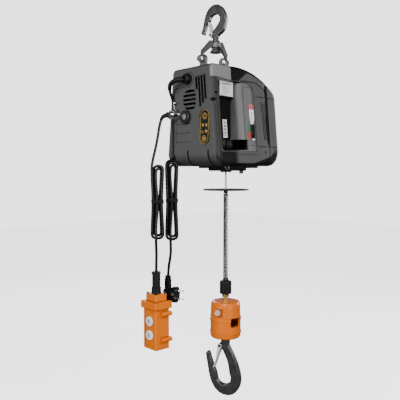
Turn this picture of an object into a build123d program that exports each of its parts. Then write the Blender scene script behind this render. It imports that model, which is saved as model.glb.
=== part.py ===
"""Portable electric wire-rope hoist, hung from its top hook.

Frame: millimetres, +Z up. The origin is the centre of the top hook's bowl, where the
support carries the hoist. X runs along the motor and the rope drum, with the vented end
cover at -X. The hand-hold face looks towards -Y. The rope falls at (0, -35).
"""
from build123d import *
import math
import os

os.makedirs("parts", exist_ok=True)

# ---------------------------------------------------------------- driving dimensions
# casing
XL, XR = -79.0, 134.0          # vented end, gearbox end
ZT, ZB = -117.0, -345.0        # top and underside of the shell
H_TOP = 68.3                   # half depth at the top
LEAN = 5.4                     # front and back lean out by this many degrees
WALL = 3.0
EDGE_R = 10.0                  # outer edge rounding
ARCH_R = 190.0                 # crown of the gearbox side
CORNER_TL, CORNER_BL, CORNER_BR, CORNER_TR = 12.0, 30.0, 38.0, 26.0
TANL = math.tan(math.radians(LEAN))
# shafts
MOTOR_Z = -190.0
DRUM_Z = -290.0
ROPE_D = 4.8
ROPE_Y = -35.0                 # the rope leaves the front of its top layer
# block and limit gear
DISC_Z, DISC_R = -400.0, 54.0
SPRING_BOT = -613.0
BUMP_TOP, BUMP_BOT, BUMP_R = -616.0, -647.0, 14.0
BLK_TOP, BLK_BOT, BLK_R = -663.0, -749.5, 36.0
LOAD_BOWL_Z, LOAD_R = -848.5, 17.5
TOP_R = 13.0                   # top hook bowl radius
TOP_AZ, LOAD_AZ = -70.0, -64.0  # which way the hooks' flat sides face at rest
# cords
CORD_D = 6.6


def save(name, shape):
    if isinstance(shape, (list, tuple)):
        shape = Compound(children=list(shape))
    export_step(shape, f"parts/{name}.step")
    print(name, len(shape.solids()), round(sum(s.volume for s in shape.solids())))
    return shape


def box(x0, x1, y0, y1, z0, z1):
    return Pos((x0 + x1) / 2, (y0 + y1) / 2, (z0 + z1) / 2) * Box(abs(x1 - x0), abs(y1 - y0), abs(z1 - z0))


def cyl_x(x0, x1, y, z, r):
    return Pos((x0 + x1) / 2, y, z) * Rot(0, 90, 0) * Cylinder(r, abs(x1 - x0))


def cyl_y(y0, y1, x, z, r):
    return Pos(x, (y0 + y1) / 2, z) * Rot(90, 0, 0) * Cylinder(r, abs(y1 - y0))


def cyl_z(z0, z1, x, y, r):
    return Pos(x, y, (z0 + z1) / 2) * Cylinder(r, abs(z1 - z0))


def half(z):
    """Half depth of the casing at height z."""
    return H_TOP + (ZT - z) * TANL


# ---------------------------------------------------------------- casing envelope
def front_outline(t):
    """Casing seen from the front, inset by t, as a face in the XZ plane (drawn in x, z)."""
    left = Pos((XL + t - 0) / 2, (ZT + ZB) / 2) * Rectangle(-(XL + t), ZT - ZB - 2 * t)
    right = Pos((XR - t) / 2, (ZT + ZB) / 2) * Rectangle(XR - t, ZT - ZB - 2 * t)
    right = right & (Pos(0, ZT - ARCH_R) * Circle(ARCH_R - t))
    sk = left + right
    def vert(x, z):
        return sk.vertices().sort_by_distance((x, z, 0))[0]
    zr = ZT - ARCH_R + math.sqrt((ARCH_R - t) ** 2 - (XR - t) ** 2)
    sk = fillet([vert(XL + t, ZT - t)], CORNER_TL - t)
    sk = fillet([sk.vertices().sort_by_distance((XL + t, ZB + t, 0))[0]], CORNER_BL - t)
    sk = fillet([sk.vertices().sort_by_distance((XR - t, ZB + t, 0))[0]], CORNER_BR - t)
    sk = fillet([sk.vertices().sort_by_distance((XR - t, zr, 0))[0]], CORNER_TR - t)
    return sk


def side_prism(t, x0, x1, extra=0.0):
    """The leaning trapezoid, inset by t, from x0 to x1."""
    c = t / math.cos(math.radians(LEAN))
    z0, z1 = ZB + t - extra, ZT - t + extra
    y0, y1 = half(z0) - c, half(z1) - c
    face = Polygon((-y0, z0), (y0, z0), (y1, z1), (-y1, z1), align=None)
    # drawn as (y, z)
    pl = Plane(origin=(x0, 0, 0), x_dir=(0, 1, 0), z_dir=(1, 0, 0))
    return extrude(pl * face, amount=x1 - x0)


def envelope(t, round_edges):
    pl = Plane(origin=(0, 120, 0), x_dir=(1, 0, 0), z_dir=(0, -1, 0))
    body = extrude(pl * front_outline(t), amount=240)
    body = body & side_prism(t, XL - 5, XR + 5, 5)
    if round_edges > 0:
        es = [e for e in body.edges()
              if abs(abs(e.center().Y) - (half(e.center().Z) - t / math.cos(math.radians(LEAN)))) < 1.5]
        body = fillet(es, round_edges)
    return body


E = envelope(0, EDGE_R)
I = envelope(WALL, EDGE_R - WALL)

# tilted plane of the hand-hold face: local x = X, local y = up the face, z = outward
FRONT = Plane(origin=(0, -H_TOP, ZT), x_dir=(1, 0, 0),
              z_dir=(0, -math.cos(math.radians(LEAN)), math.sin(math.radians(LEAN))))
BACK = Plane(origin=(0, H_TOP, ZT), x_dir=(-1, 0, 0),
             z_dir=(0, math.cos(math.radians(LEAN)), math.sin(math.radians(LEAN))))
VENT = Plane(origin=(XL, 0, 0), x_dir=(0, -1, 0), z_dir=(-1, 0, 0))


def on(plane, sk, d0, d1):
    """Extrude a sketch in a face plane from depth d0 to d1 (outward is positive)."""
    return extrude(plane.offset(d0) * sk, amount=d1 - d0)


def fv(z):
    return (z - ZT) / math.cos(math.radians(LEAN))


def groove_line(pts, w):
    """A line of width w through points."""
    out = None
    for a, b in zip(pts, pts[1:]):
        dx, dy = b[0] - a[0], b[1] - a[1]
        L = math.hypot(dx, dy)
        r = Pos((a[0] + b[0]) / 2, (a[1] + b[1]) / 2) * Rot(0, 0, math.degrees(math.atan2(dy, dx))) * SlotOverall(L + w, w)
        out = r if out is None else out + r
    return out


# ---------------------------------------------------------------- casing regions
shell = E - I
# hand-hold pocket: x -62 .. 52, with the gear housing's rounded nose in its right part
POCK_X0, POCK_X1, POCK_Z1, POCK_Z0, POCK_Y = -62.0, 53.0, -152.0, -311.0, -46.0
pocket_cut = box(POCK_X0, POCK_X1, -120, POCK_Y, POCK_Z0, POCK_Z1)
pocket_cut = fillet(pocket_cut.edges().filter_by(Axis.Y).group_by(Axis.X)[0], 8)
arch_edge = pocket_cut.edges().filter_by(Axis.Y).sort_by_distance((POCK_X1, -80, POCK_Z1))[0]
pocket_cut = fillet([arch_edge], 26)
# walls of the pocket, 2.5 thick
pocket_out = box(POCK_X0 - 2.5, POCK_X1 + 2.5, -120, POCK_Y + 2.5, POCK_Z0 - 2.5, POCK_Z1 + 2.5)
pocket_out = fillet(pocket_out.edges().filter_by(Axis.Y).group_by(Axis.X)[0], 10.5)
arch_edge = pocket_out.edges().filter_by(Axis.Y).sort_by_distance((POCK_X1, -80, POCK_Z1))[0]
pocket_out = fillet([arch_edge], 28.5)
pocket_wall = (pocket_out & I) - pocket_cut

# the end cover's region on the vented side
end_region = side_prism(7.0, XL - 3, XL + 13, 40) + (side_prism(7.0, XL - 3, XL + 42, 40) & box(-100, -30, -100, 100, ZB - 5, ZB + 12))
front_half = box(-200, 200, -200, 0, -400, 0)
shell_wp = (shell - pocket_cut) + pocket_wall
front_all = (shell_wp & front_half) - end_region
rear_shell = (shell & box(-200, 200, 0, 200, -400, 0)) - end_region
end_cover = shell & end_region

# seams as small channels, 1.4 wide and 1.2 deep
seam = on(FRONT, groove_line([(XL - 2, fv(-146)), (-55, fv(-147.5)), (-20, fv(-152))], 1.4), -1.2, 12)

# vented end cover details, drawn as (s, z) with s = -y
def vslot(s0, z0, s1, z1, w):
    L = math.hypot(s1 - s0, z1 - z0)
    return Pos((s0 + s1) / 2, (z0 + z1) / 2) * Rot(0, 0, math.degrees(math.atan2(z1 - z0, s1 - s0))) * SlotOverall(L, w)


vents = None
for s0, z0, s1, z1 in [(18.0, -145, 20.2, -170), (26.6, -144, 32.2, -209), (35.6, -143.5, 41.0, -202), (44.8, -143, 49.6, -193.5)]:
    v = vslot(s0, z0, s1, z1, 5.0)
    vents = v if vents is None else vents + v
ring = Pos(-3, -193) * Circle(25)
for dz in (19.4, 9.7, 0, -9.7, -19.4):
    bar = (Pos(-10, -193 + dz) * Rectangle(56, 5.8)) & ring
    bar = bar & (Pos(-20, -193) * Rectangle(74, 80))
    vents = vents + bar
end_cover = end_cover - on(VENT, vents, -12, 5)
# cord channel down the far edge: a trough let into the cover
CH_Y, CH_W, CH_X = 62.5, 7.4, -72.0
trough_out = box(XL, CH_X + 2.0, CH_Y - CH_W / 2 - 2, CH_Y + CH_W / 2 + 2, ZB - 5, -176) & E & end_region
trough_cut = box(XL - 5, CH_X, CH_Y - CH_W / 2, CH_Y + CH_W / 2, ZB - 8, -178)
trough_cut = fillet(trough_cut.edges().filter_by(Axis.Y).group_by(Axis.Z)[-1], 4)
end_cover = (end_cover + trough_out) - trough_cut
rear_shell = rear_shell - trough_cut
# shallow panel lines
lines = groove_line([(-51, -198), (-40, -198)], 1.0) + groove_line([(-51, -214), (-40, -214)], 1.0)
lines = lines + groove_line([(-52, -247.5), (-1, -247.5)], 1.0) + groove_line([(-52, -268), (-1, -268)], 1.0)
lines = lines + groove_line([(-52, -289), (-1, -289)], 1.0)
lines = lines + groove_line([(-52, -164), (-30, -163), (-18, -161)], 1.0)
end_cover = end_cover - on(VENT, lines, -0.8, 5)
# raised collar round the cord entry
GROM = (-8.0, -146.0)
collar = (Pos(*GROM) * Circle(17.5)) - (Pos(*GROM) * Circle(15.0))
end_cover = end_cover + on(VENT, collar, -1.0, 1.6)
# nameplate recess
plate_sk = Pos(46.5, -257) * Rot(0, 0, 90 + LEAN * 0.6) * SlotOverall(77, 27)
plate_rim = Pos(46.5, -257) * Rot(0, 0, 90 + LEAN * 0.6) * SlotOverall(80, 30)
end_cover = end_cover - on(VENT, plate_rim, -1.0, 5)
# holes for the cord gland, connector, cap
CONN = (-50.0, -226.0)
CAPP = (-14.5, -232.0)
end_cover = end_cover - cyl_x(-90, -60, 8.0, -146, 8.0) - cyl_x(-90, -60, 48.5, -226, 8.5) - cyl_x(-90, -60, 14.5, -232, 10.0)
# ribs on the lower rounding
for yy in (-57.7, 10.8):
    rib = box(-90, -30, yy - 0.7, yy + 0.7, ZB - 5, -309)
    keep = (envelope(1.2, 0))
    end_cover = end_cover - (rib - keep)

# top cap region on the front corner
cap_region = on(FRONT, Polygon((XL - 20, fv(-146)), (-55, fv(-147.5)), (-20, fv(-152)), (-20, 60), (XL - 20, 60), align=None), -26, 40)
top_cap = front_all & cap_region
front_shell = front_all - cap_region
front_shell = front_shell - seam
print("casing ok")

# front panel groove and grille grooves
panel = (Pos(18, fv(-245)) * Rectangle(158, 190)) & (Pos(0, fv(ZT - ARCH_R)) * Circle(ARCH_R - 22))
panel = panel & (Pos(18, fv(-238)) * Rectangle(158, 202))
pv = sorted(panel.vertices(), key=lambda v: (-v.X, v.Y))
panel = fillet([pv[0]], 26)
pv = panel.vertices().sort_by_distance((97, fv(-160), 0))
panel = fillet([pv[0]], 16)
ringg = offset(panel, 2.0) - panel
ringg = ringg & (Pos(100, fv(-245)) * Rectangle(180, 300))
front_shell = front_shell - on(FRONT, ringg, -2.4, 12)
for gx, z0, z1 in ((76, -193, -283), (81.5, -197, -284), (87, -197, -285)):
    front_shell = front_shell - on(FRONT, vslot(gx, fv(z0), gx + 5, fv(z1), 2.2), -1.8, 5)
for zz in (-182, -299):
    front_shell = front_shell - on(FRONT, groove_line([(60, fv(zz)), (150, fv(zz - 1))], 1.0), -1.0, 5)
front_shell = front_shell - on(FRONT, groove_line([(-10, fv(-318)), (62, fv(-318))], 1.2), -1.2, 5)
# screw pockets: corner strip, lower right
pocket_screw = on(FRONT, Pos(-70, fv(-183)) * SlotOverall(9.5, 5.2), -9, 12)
front_shell = front_shell - pocket_screw
front_shell = front_shell - on(FRONT, Pos(82, fv(-312)) * Circle(2.6), -5, 12)

# drum window under the nose
front_shell = front_shell - box(-42, 24, POCK_Y - 1, POCK_Y + 6, -306, -272)
# rope slot and bottom openings
rope_slot = box(-14, 14, ROPE_Y - 8, ROPE_Y + 8, ZB - 5, ZB + 12)
front_shell = front_shell - rope_slot
plunger_hole = cyl_z(ZB - 5, ZB + 14, 26, -60, 5.4)
front_shell = front_shell - plunger_hole

# lug slots in the top of the shell, screw clearance, base slots
LUG_X = 32.0
PIV_Y, PIV_Z, TAB_X = 7.9, -94.2, 38.5
for sx in (-1, 1):
    cut = box(sx * LUG_X - 3.3, sx * LUG_X + 3.3, PIV_Y - 11.2, PIV_Y + 11.2, -135, -110)
    rear_shell = rear_shell - cut
    front_shell = front_shell - cut
    top_cap = top_cap - cut
    end_cover = end_cover - cut
save("front_shell", front_shell)
save("rear_shell", rear_shell)
save("vent_end_cover", end_cover)
save("top_cap", top_cap)

# ---------------------------------------------------------------- inner housing nose
nose_sk = Pos((3 + 52.6) / 2, fv(-231.5)) * Rectangle(49.6, 158.2)
nose = (on(FRONT, nose_sk, -60, -1.6) & pocket_cut) & box(3, 52.6, -200, POCK_Y - 0.05, -310.6, -152.4)
nose = nose & E
left_edges = [e for e in nose.edges() if abs(e.center().X - 3) < 0.3 and e.length > 100 and e.center().Y < POCK_Y - 8]
nose = fillet(left_edges, 15)
nose_cav = box(5.5, 50.1, -200, POCK_Y + 1, -308, -155) & on(FRONT, Pos(28, fv(-231)) * Rectangle(200, 400), -80, -4.2)
le = [e for e in nose_cav.edges() if abs(e.center().X - 5.5) < 0.3 and e.length > 100 and e.center().Y < POCK_Y - 8]
nose_cav = fillet(le, 12)
nose = nose - nose_cav
# seam ring round the flat face, and the rope window at its lower left
face_sk = Pos(32, fv(-229)) * RectangleRounded(33, 137, 9)
nose = nose - on(FRONT, face_sk - offset(face_sk, -1.2), -2.6, 5)
nose = nose - box(-5, 24, -200, POCK_Y + 5, -308, -284)
save("inner_housing", nose)

# ---------------------------------------------------------------- bottom foot and rope bush
foot = box(-30, 38, -70, -2, -356, ZB)
foot = fillet(foot.edges().filter_by(Axis.Z), 8)
foot = fillet(foot.faces().sort_by(Axis.Z)[0].edges(), 3)
lip = fillet(box(-34, 78, -73, 30, -349.5, ZB).edges().filter_by(Axis.Z), 12)
foot = foot + lip
foot = foot - cyl_z(-360, ZB + 2, 0, ROPE_Y, 11) - cyl_z(-360, ZB + 2, 26, -60, 5.4)
save("bottom_foot", foot)
bush = cyl_z(-359, ZB, 0, ROPE_Y, 11) + cyl_z(-359, -356, 0, ROPE_Y, 13.5)
bush = bush - cyl_z(-360, ZB + 1, 0, ROPE_Y, 3.6)
save("rope_bush", bush)

# ---------------------------------------------------------------- chassis
PL1, PL2, PL3 = (-60.0, -57.0), (57.0, 60.0), (96.0, 99.0)
A_Y, A_Z = 22.0, -210.4
B_Y, B_Z = 26.94, -249.07
rods = [(-28, -158), (52, -160), (-22, -332), (52, -325)]
frame_all = None
for n, (x0, x1), holes in (("chassis_plate_motor_end", PL1, [(0, MOTOR_Z), (0, DRUM_Z)]),
                           ("chassis_plate_inner", PL2, [(0, MOTOR_Z), (0, DRUM_Z), (A_Y, A_Z), (B_Y, B_Z)]),
                           ("chassis_plate_gear_end", PL3, [(0, MOTOR_Z), (0, DRUM_Z), (A_Y, A_Z), (B_Y, B_Z)])):
    ztop = -136 if x1 < 70 else -152
    pl = box(x0, x1, -40, 60, -337, ztop)
    pl = fillet(pl.edges().filter_by(Axis.X), 8)
    for (y, z) in holes:
        if x0 > 90 and (y, z) == (0, DRUM_Z):
            pl = pl - cyl_x(x0 - 1, x1 + 1, y, z, 14)
            continue
        r = 11.0 if y == 0 else 8.0
        pl = pl - cyl_x(x0 - 1, x1 + 1, y, z, r)
    for (y, z) in rods:
        pl = pl - cyl_x(x0 - 1, x1 + 1, y, z, 3.0)
    frame_all = pl if frame_all is None else frame_all + pl
tie = None
for (y, z) in rods:
    r = cyl_x(-62, 101, y, z, 3.0)
    nutl = cyl_x(-62, -60, y, z, 5.5) + cyl_x(99, 101, y, z, 5.5)
    r = r + nutl
    tie = r if tie is None else tie + r
save("tie_rods", tie)
bridge = box(PL1[0], PL2[1], -14, 24, -136, -131)
lugs = None
for sx in (-1, 1):
    l = box(sx * LUG_X - 3, sx * LUG_X + 3, PIV_Y - 11, PIV_Y + 11, -131, PIV_Z)
    l = l + cyl_x(sx * LUG_X - 3, sx * LUG_X + 3, PIV_Y, PIV_Z, 11)
    l = l + box(sx * LUG_X - 9, sx * LUG_X + 9, PIV_Y - 12, PIV_Y + 12, -131, -127.5)
    l = l - cyl_x(sx * LUG_X - 9, sx * LUG_X + 9, PIV_Y, PIV_Z, 4.0)
    lugs = l if lugs is None else lugs + l
save("lifting_lugs", lugs)
bolts = None
for sx in (-1, 1):
    x_in, x_out = sx * 26.0, sx * 47.5
    b = cyl_x(sx * 25, sx * 43.0, PIV_Y, PIV_Z, 4.0)
    hexa = Pos(sx * 45.4, PIV_Y, PIV_Z) * Rot(0, 90, 0) * extrude(RegularPolygon(7.4, 6), 2.3, both=True)
    nut = Pos(sx * 26.4, PIV_Y, PIV_Z) * Rot(0, 90, 0) * extrude(RegularPolygon(7.2, 6), 2.4, both=True)
    b = b + hexa + nut + cyl_x(sx * 41.6, sx * 43.1, PIV_Y, PIV_Z, 8.6)
    bolts = b if bolts is None else bolts + b
save("bail_bolts", bolts)

# ---------------------------------------------------------------- motor
stator = cyl_x(-40, 20, 0, MOTOR_Z, 32) - cyl_x(-41, 21, 0, MOTOR_Z, 18.5)
for a in (45, 135, 225, 315):
    stator = stator - cyl_x(-41, 21, 32.6 * math.cos(math.radians(a)), MOTOR_Z + 32.6 * math.sin(math.radians(a)), 3.2)
save("motor_stator", stator)


def ring_x(x0, x1, y, z, r0, r1, f):
    c = cyl_x(x0, x1, y, z, r1) - cyl_x(x0 - 1, x1 + 1, y, z, r0)
    return fillet(c.edges().filter_by(GeomType.CIRCLE), f)


save("motor_windings", ring_x(-52, -40, 0, MOTOR_Z, 20, 30, 3.5) + ring_x(20, 32, 0, MOTOR_Z, 20, 30, 3.5))
cradle = box(-34, 14, -13, 13, -166, -136) - cyl_x(-41, 21, 0, MOTOR_Z, 32)
frame_all = frame_all + bridge + cradle
save("chassis_frame", frame_all)
fan = cyl_x(-73, -63, 0, MOTOR_Z, 9) + cyl_x(-64.5, -63, 0, MOTOR_Z, 30)
for k in range(9):
    bl = Pos(-68.9, 0, MOTOR_Z) * Rot(k * 40, 0, 0) * Pos(0, 18, 0) * Rot(0, 0, 0) * Box(8.2, 22, 1.6)
    fan = fan + bl
fan = fan - cyl_x(-80, -60, 0, MOTOR_Z, 5.0)
save("motor_fan", fan)


def bearing(x0, x1, y, z, ri, ro):
    return cyl_x(x0, x1, y, z, ro) - cyl_x(x0 - 1, x1 + 1, y, z, ri)


bear = [bearing(-61.8, -55, 0, MOTOR_Z, 5.05, 11), bearing(56.3, 62, 0, MOTOR_Z, 5.05, 11), bearing(95, 100, 0, MOTOR_Z, 5.05, 11)]
bear += [bearing(-61.8, -55, 0, DRUM_Z, 7.05, 11), bearing(56.3, 62, 0, DRUM_Z, 7.05, 11)]
bear += ([bearing(56.3, 61, y, z, 4.05, 8) for y, z in ((A_Y, A_Z), (B_Y, B_Z))]
         + [bearing(95, 100, y, z, 4.05, 8) for y, z in ((A_Y, A_Z), (B_Y, B_Z))])
save("shaft_bearings", bear)


# ---------------------------------------------------------------- gears
def gear(m, z, x0, x1, cy, cz, bore, phase, thin=0.62):
    """Spur gear about X. phase is the angle of one tooth's centre in degrees, from +Y to +Z."""
    rp = m * z / 2
    pa = math.radians(20)
    rb, ra, rf = rp * math.cos(pa), rp + 0.85 * m, rp - 1.15 * m
    inv = lambda a: math.tan(a) - a
    half_t = (math.pi * m - thin) / 4 / rp          # half tooth angle at the pitch circle
    prof = []
    lo = max(rb * 1.001, rf)
    rs = [lo + (ra - lo) * i / 4 for i in range(5)]
    ang = [half_t + inv(pa) - inv(math.acos(min(1.0, rb / r))) for r in rs]
    pts = []
    for k in range(z):
        c = math.radians(phase) + 2 * math.pi * k / z
        if rf < lo - 0.01:
            pts.append((rf, c - ang[0]))
        pts += [(r, c - a) for r, a in zip(rs, ang)]
        pts += [(r, c + a) for r, a in zip(reversed(rs), reversed(ang))]
        if rf < lo - 0.01:
            pts.append((rf, c + ang[0]))
    face = make_face(Polyline([(r * math.cos(a), r * math.sin(a)) for r, a in pts], close=True))
    pl = Plane(origin=(x0, cy, cz), x_dir=(0, 1, 0), z_dir=(1, 0, 0))
    g = extrude(pl * face, amount=x1 - x0)
    return g - cyl_x(x0 - 1, x1 + 1, cy, cz, bore)


def direction(y0, z0, y1, z1):
    return math.degrees(math.atan2(z1 - z0, y1 - y0))


d1 = direction(0, MOTOR_Z, A_Y, A_Z)
d2 = direction(A_Y, A_Z, B_Y, B_Z)
d3 = direction(B_Y, B_Z, 0, DRUM_Z)
# rotor, pinion and brake disc turn as one piece
rotor = cyl_x(-74, 104.5, 0, MOTOR_Z, 5.0) + cyl_x(-40, 20, 0, MOTOR_Z, 18.0) + gear(1.25, 12, 64, 76, 0, MOTOR_Z, 4.0, d1)
rotor = rotor + cyl_x(101.6, 104.4, 0, MOTOR_Z, 17)
save("rotor", rotor)
save("layshaft_a", cyl_x(56.5, 99.8, A_Y, A_Z, 4.0) + gear(1.25, 36, 65, 75, A_Y, A_Z, 3.0, d1 + 180 + 180 / 36)
     + gear(1.5, 12, 78, 92, A_Y, A_Z, 3.0, d2))
save("layshaft_b", cyl_x(56.5, 99.8, B_Y, B_Z, 4.0) + gear(1.5, 40, 79, 91, B_Y, B_Z, 3.0, d2 + 180 + 180 / 40)
     + gear(1.75, 14, 62.5, 77, B_Y, B_Z, 3.0, d3))
save("drum_gear", gear(1.75, 42, 64, 76, 0, DRUM_Z, 7.0, d3 + 180 + 180 / 42))
brake = cyl_x(105.6, 120, 0, MOTOR_Z, 19) - cyl_x(105, 116, 0, MOTOR_Z, 6)
for sy in (-1, 1):
    brake = brake + box(105.6, 108.6, sy * 14, sy * 27, MOTOR_Z - 6, MOTOR_Z + 6) + cyl_x(99, 106, sy * 23, MOTOR_Z, 3)
save("brake_housing", brake)

# ---------------------------------------------------------------- drum and rope
drum = cyl_x(-50, 50, 0, DRUM_Z, 22) + cyl_x(-50, -46.5, 0, DRUM_Z, 42) + cyl_x(46.5, 50, 0, DRUM_Z, 42)
drum = drum + cyl_x(-61.5, 78, 0, DRUM_Z, 7.0)
save("rope_drum", drum)
# lower layers fill the drum, the top layer stops beside the fall
R_LOW = 32.2
prof = Pos(0, 0) * Rectangle(93, R_LOW - 2.4 - 22.0)
prof = Pos(0, (R_LOW - 2.4 + 22) / 2) * Rectangle(93, R_LOW - 2.4 - 22)
n_low = 19
pit = (93 - ROPE_D) / (n_low - 1)
for k in range(n_low):
    prof = prof + Pos(-46.5 + ROPE_D / 2 + k * pit, R_LOW - 2.4) * Circle(ROPE_D / 2)
n_up = 9
for k in range(n_up):
    prof = prof + Pos(-46.5 + ROPE_D / 2 + k * pit, 35.0) * Circle(ROPE_D / 2) + Pos(-46.5 + ROPE_D / 2 + k * pit, 32.5) * Rectangle(4.0, 4.0)
pl = Plane(origin=(0, 0, DRUM_Z), x_dir=(1, 0, 0), z_dir=(0, 1, 0))
# drawn as (x, -z); spun about the drum axis
wound = revolve(pl * prof, axis=Axis((0, 0, DRUM_Z), (1, 0, 0)))
save("wound_rope", wound)

# ---------------------------------------------------------------- electrics
cap = cyl_x(PL1[1], 6, 48, -232, 13.5)
cap = fillet(cap.edges().filter_by(GeomType.CIRCLE).group_by(Axis.X)[-1], 3)
save("run_capacitor", cap)
ls = fillet(box(14, 38, -72, -50, -338, -317).edges().filter_by(Axis.Y), 2) - cyl_z(-340, -325, 26, -60, 5.06)
ls = ls + box(16, 36, -70, -52, ZB + WALL, -338) - cyl_z(-345, -325, 26, -60, 5.06)
save("limit_switch", ls)
plunger = cyl_z(-362.5, -331, 26, -60, 5.0)
plunger = fillet(plunger.edges().filter_by(GeomType.CIRCLE).group_by(Axis.Z)[0], 1.2)
save("limit_plunger", plunger)

# ---------------------------------------------------------------- vented face fittings
gx, gy, gz = XL, 8.0, -146.0
gland = cyl_x(-93, -79, gy, gz, 11.5)
gland = fillet(gland.edges().filter_by(GeomType.CIRCLE).group_by(Axis.X)[0], 5)
gland = gland + cyl_x(-79, -70, gy, gz, 8.0) + cyl_x(-76, -73.0, gy, gz, 10.5)
gland = gland - cyl_x(-95, -60, gy, gz, 3.7)
save("mains_gland", gland)
conn = cyl_x(-82, -79, 48.5, -226, 9.4) + cyl_x(-92, -82, 48.5, -226, 9.0) + cyl_x(-79, -70, 48.5, -226, 8.5)
conn = conn - cyl_x(-93, -88, 48.5, -226, 7.5)
ringn = cyl_x(-99, -86.5, 48.5, -226, 11.0) - cyl_x(-92.0, -80, 48.5, -226, 9.0)
ringn = ringn + cyl_x(-109, -99, 48.5, -226, 7.0)
for k in range(12):
    ringn = ringn - Pos(-92.7, 48.5, -226) * Rot(k * 30, 0, 0) * Pos(0, 11.2, 0) * Box(9, 1.2, 1.6)
ringn = ringn - cyl_x(-112, -92.0, 48.5, -226, 3.6)
save("pendant_connector", ringn + conn)
rc = cyl_x(-88, -79, 14.5, -232, 15.0)
rc = fillet(rc.edges().filter_by(GeomType.CIRCLE).group_by(Axis.X)[0], 2.0)
rc = rc - cyl_x(-90, -86.2, 14.5, -232, 10.5) + cyl_x(-87, -84, 14.5, -232, 7.5) + cyl_x(-79, -72, 14.5, -232, 10.0)
rc = rc - box(-90, -85.4, 14.5 - 6, 14.5 + 6, -233.2, -230.8)
save("round_cap", rc)
plate = on(VENT, plate_sk, -1.0, 0.35)
save("nameplate", plate)
sc = None
for px, pz in ((-70, -183), (82, -312)):
    s1 = on(FRONT, Pos(px, fv(pz)) * Circle(2.2), -2.5, -1.4)
    sc = s1 if sc is None else sc + s1

# ---------------------------------------------------------------- hooks
def in_plane(az, cx, cy, cz):
    """Plane whose local x runs across the hook, local y is up, z is out of the flat side."""
    a = math.radians(az)
    return Plane(origin=(cx, cy, cz), x_dir=(math.cos(a), math.sin(a), 0), z_dir=(math.sin(a), -math.cos(a), 0))


def soften(s, r, skip=None):
    for k in (1.0, 0.8, 0.6, 0.4, 0.2):
        try:
            es = [e for e in s.edges() if skip is None or not skip(e)]
            return fillet(es, r * k)
        except Exception:
            continue
    print("not softened")
    return s


HOOK_T = 15.0
PT = in_plane(TOP_AZ, 0, 0, 0)
a0, a1 = math.radians(-35), math.radians(172)
i0 = (TOP_R * math.cos(a0), TOP_R * math.sin(a0))
i1 = (TOP_R * math.cos(a1), TOP_R * math.sin(a1))
imid = (TOP_R * math.cos((a0 + a1) / 2), TOP_R * math.sin((a0 + a1) / 2))
top_edges = Curve() + [
    Spline([(7, -41), (9.5, -36.5), (18, -31), (25.5, -20), (28.8, -2), (26, 14), (18, 28), (6, 34.6), (-7, 33), (-18, 24), (-25.5, 9), (-29.5, -8), (-35.5, -27)]),
    Spline([(-35.5, -27), (-34.2, -31.2), (-30, -31.5), (-27.6, -28)]),
    Spline([(-27.6, -28), (-22.5, -14), (-17, -4), i1], tangents=[(4.5, 12.5), (math.sin(a1), -math.cos(a1))]),
    ThreePointArc(i1, imid, i0),
    Spline([i0, (3.5, -17), (-3.8, -26), (-7, -34), (-7, -41)], tangents=[(math.sin(a0), -math.cos(a0)), (0, -1)]),
    Line((-7, -41), (7, -41)),
]
top_face = make_face(top_edges)
top_body = extrude(PT * top_face, amount=HOOK_T / 2, both=True)
top_body = soften(top_body, 4.0, lambda e: abs(e.center().Z + 41) < 0.5)
boss_u, boss_z = -9.5, -36.0


def at(plane, u, v, w=0.0):
    o = plane.origin + plane.x_dir * u + plane.y_dir * v + plane.z_dir * w
    return (o.X, o.Y, o.Z)


def cyl_n(plane, u, v, w0, w1, r):
    return extrude(plane.offset(w0) * (Pos(u, v) * Circle(r)), amount=w1 - w0)


shank = cyl_z(-76.6, -40, 0, 0, 6.5) + cyl_z(-51, -41, 0, 0, 7.4)
top_hook = top_body + cyl_n(PT, boss_u, boss_z, -6, 6, 4.5) + cyl_n(PT, -6, boss_z, -6, 6, 4.5) + shank + cyl_z(-54.0, -50.0, 0, 0, 11.0)
top_hook = top_hook - cyl_n(PT, boss_u, boss_z, -20, 20, 1.6)
top_hook = top_hook + cyl_n(PT, boss_u, boss_z, -10.5, 10.5, 1.6) + cyl_n(PT, boss_u, boss_z, -11.9, -10.4, 2.8) + cyl_n(PT, boss_u, boss_z, 10.4, 11.9, 2.8)
save("top_hook", top_hook)


def latch(plane, pu, pv, tu, tv, half_w, t, pin_r, ear_r, bow):
    """A pressed latch from its pivot to the inside of the hook's tip."""
    L = math.hypot(tu - pu, tv - pv)
    ang = math.degrees(math.atan2(tv - pv, tu - pu))
    loc = Pos(pu, pv) * Rot(0, 0, ang)
    s0 = ear_r + 3.0
    strip = loc * (Pos((s0 + L + 2) / 2, bow) * Rectangle(L + 2 - s0, t))
    web = extrude(plane * strip, amount=half_w, both=True)
    ears = None
    ear_sk = loc * (Circle(ear_r) + Polygon((0, -ear_r), (L * 0.62, bow - t / 2), (L * 0.62, bow + t / 2), (0, ear_r), align=None))
    for s in (-1, 1):
        e = extrude(plane.offset(s * half_w) * ear_sk, amount=-s * t)
        ears = e if ears is None else ears + e
    s = web + ears
    return s - cyl_n(plane, pu, pv, -40, 40, pin_r + 0.06)


save("top_latch", latch(PT, boss_u, boss_z, -16.9, -7.4, 10.0, 1.5, 1.6, 4.2, -2.2))
hexn = Pos(0, 0, -69.7) * extrude(RegularPolygon(11.0, 6), 4.0, both=True) - cyl_z(-80, -50, 0, 0, 6.5)
save("top_hook_nut", hexn + (cyl_z(-77.2, -73.7, 0, 0, 13.5) - cyl_z(-80, -50, 0, 0, 6.5)))

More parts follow.
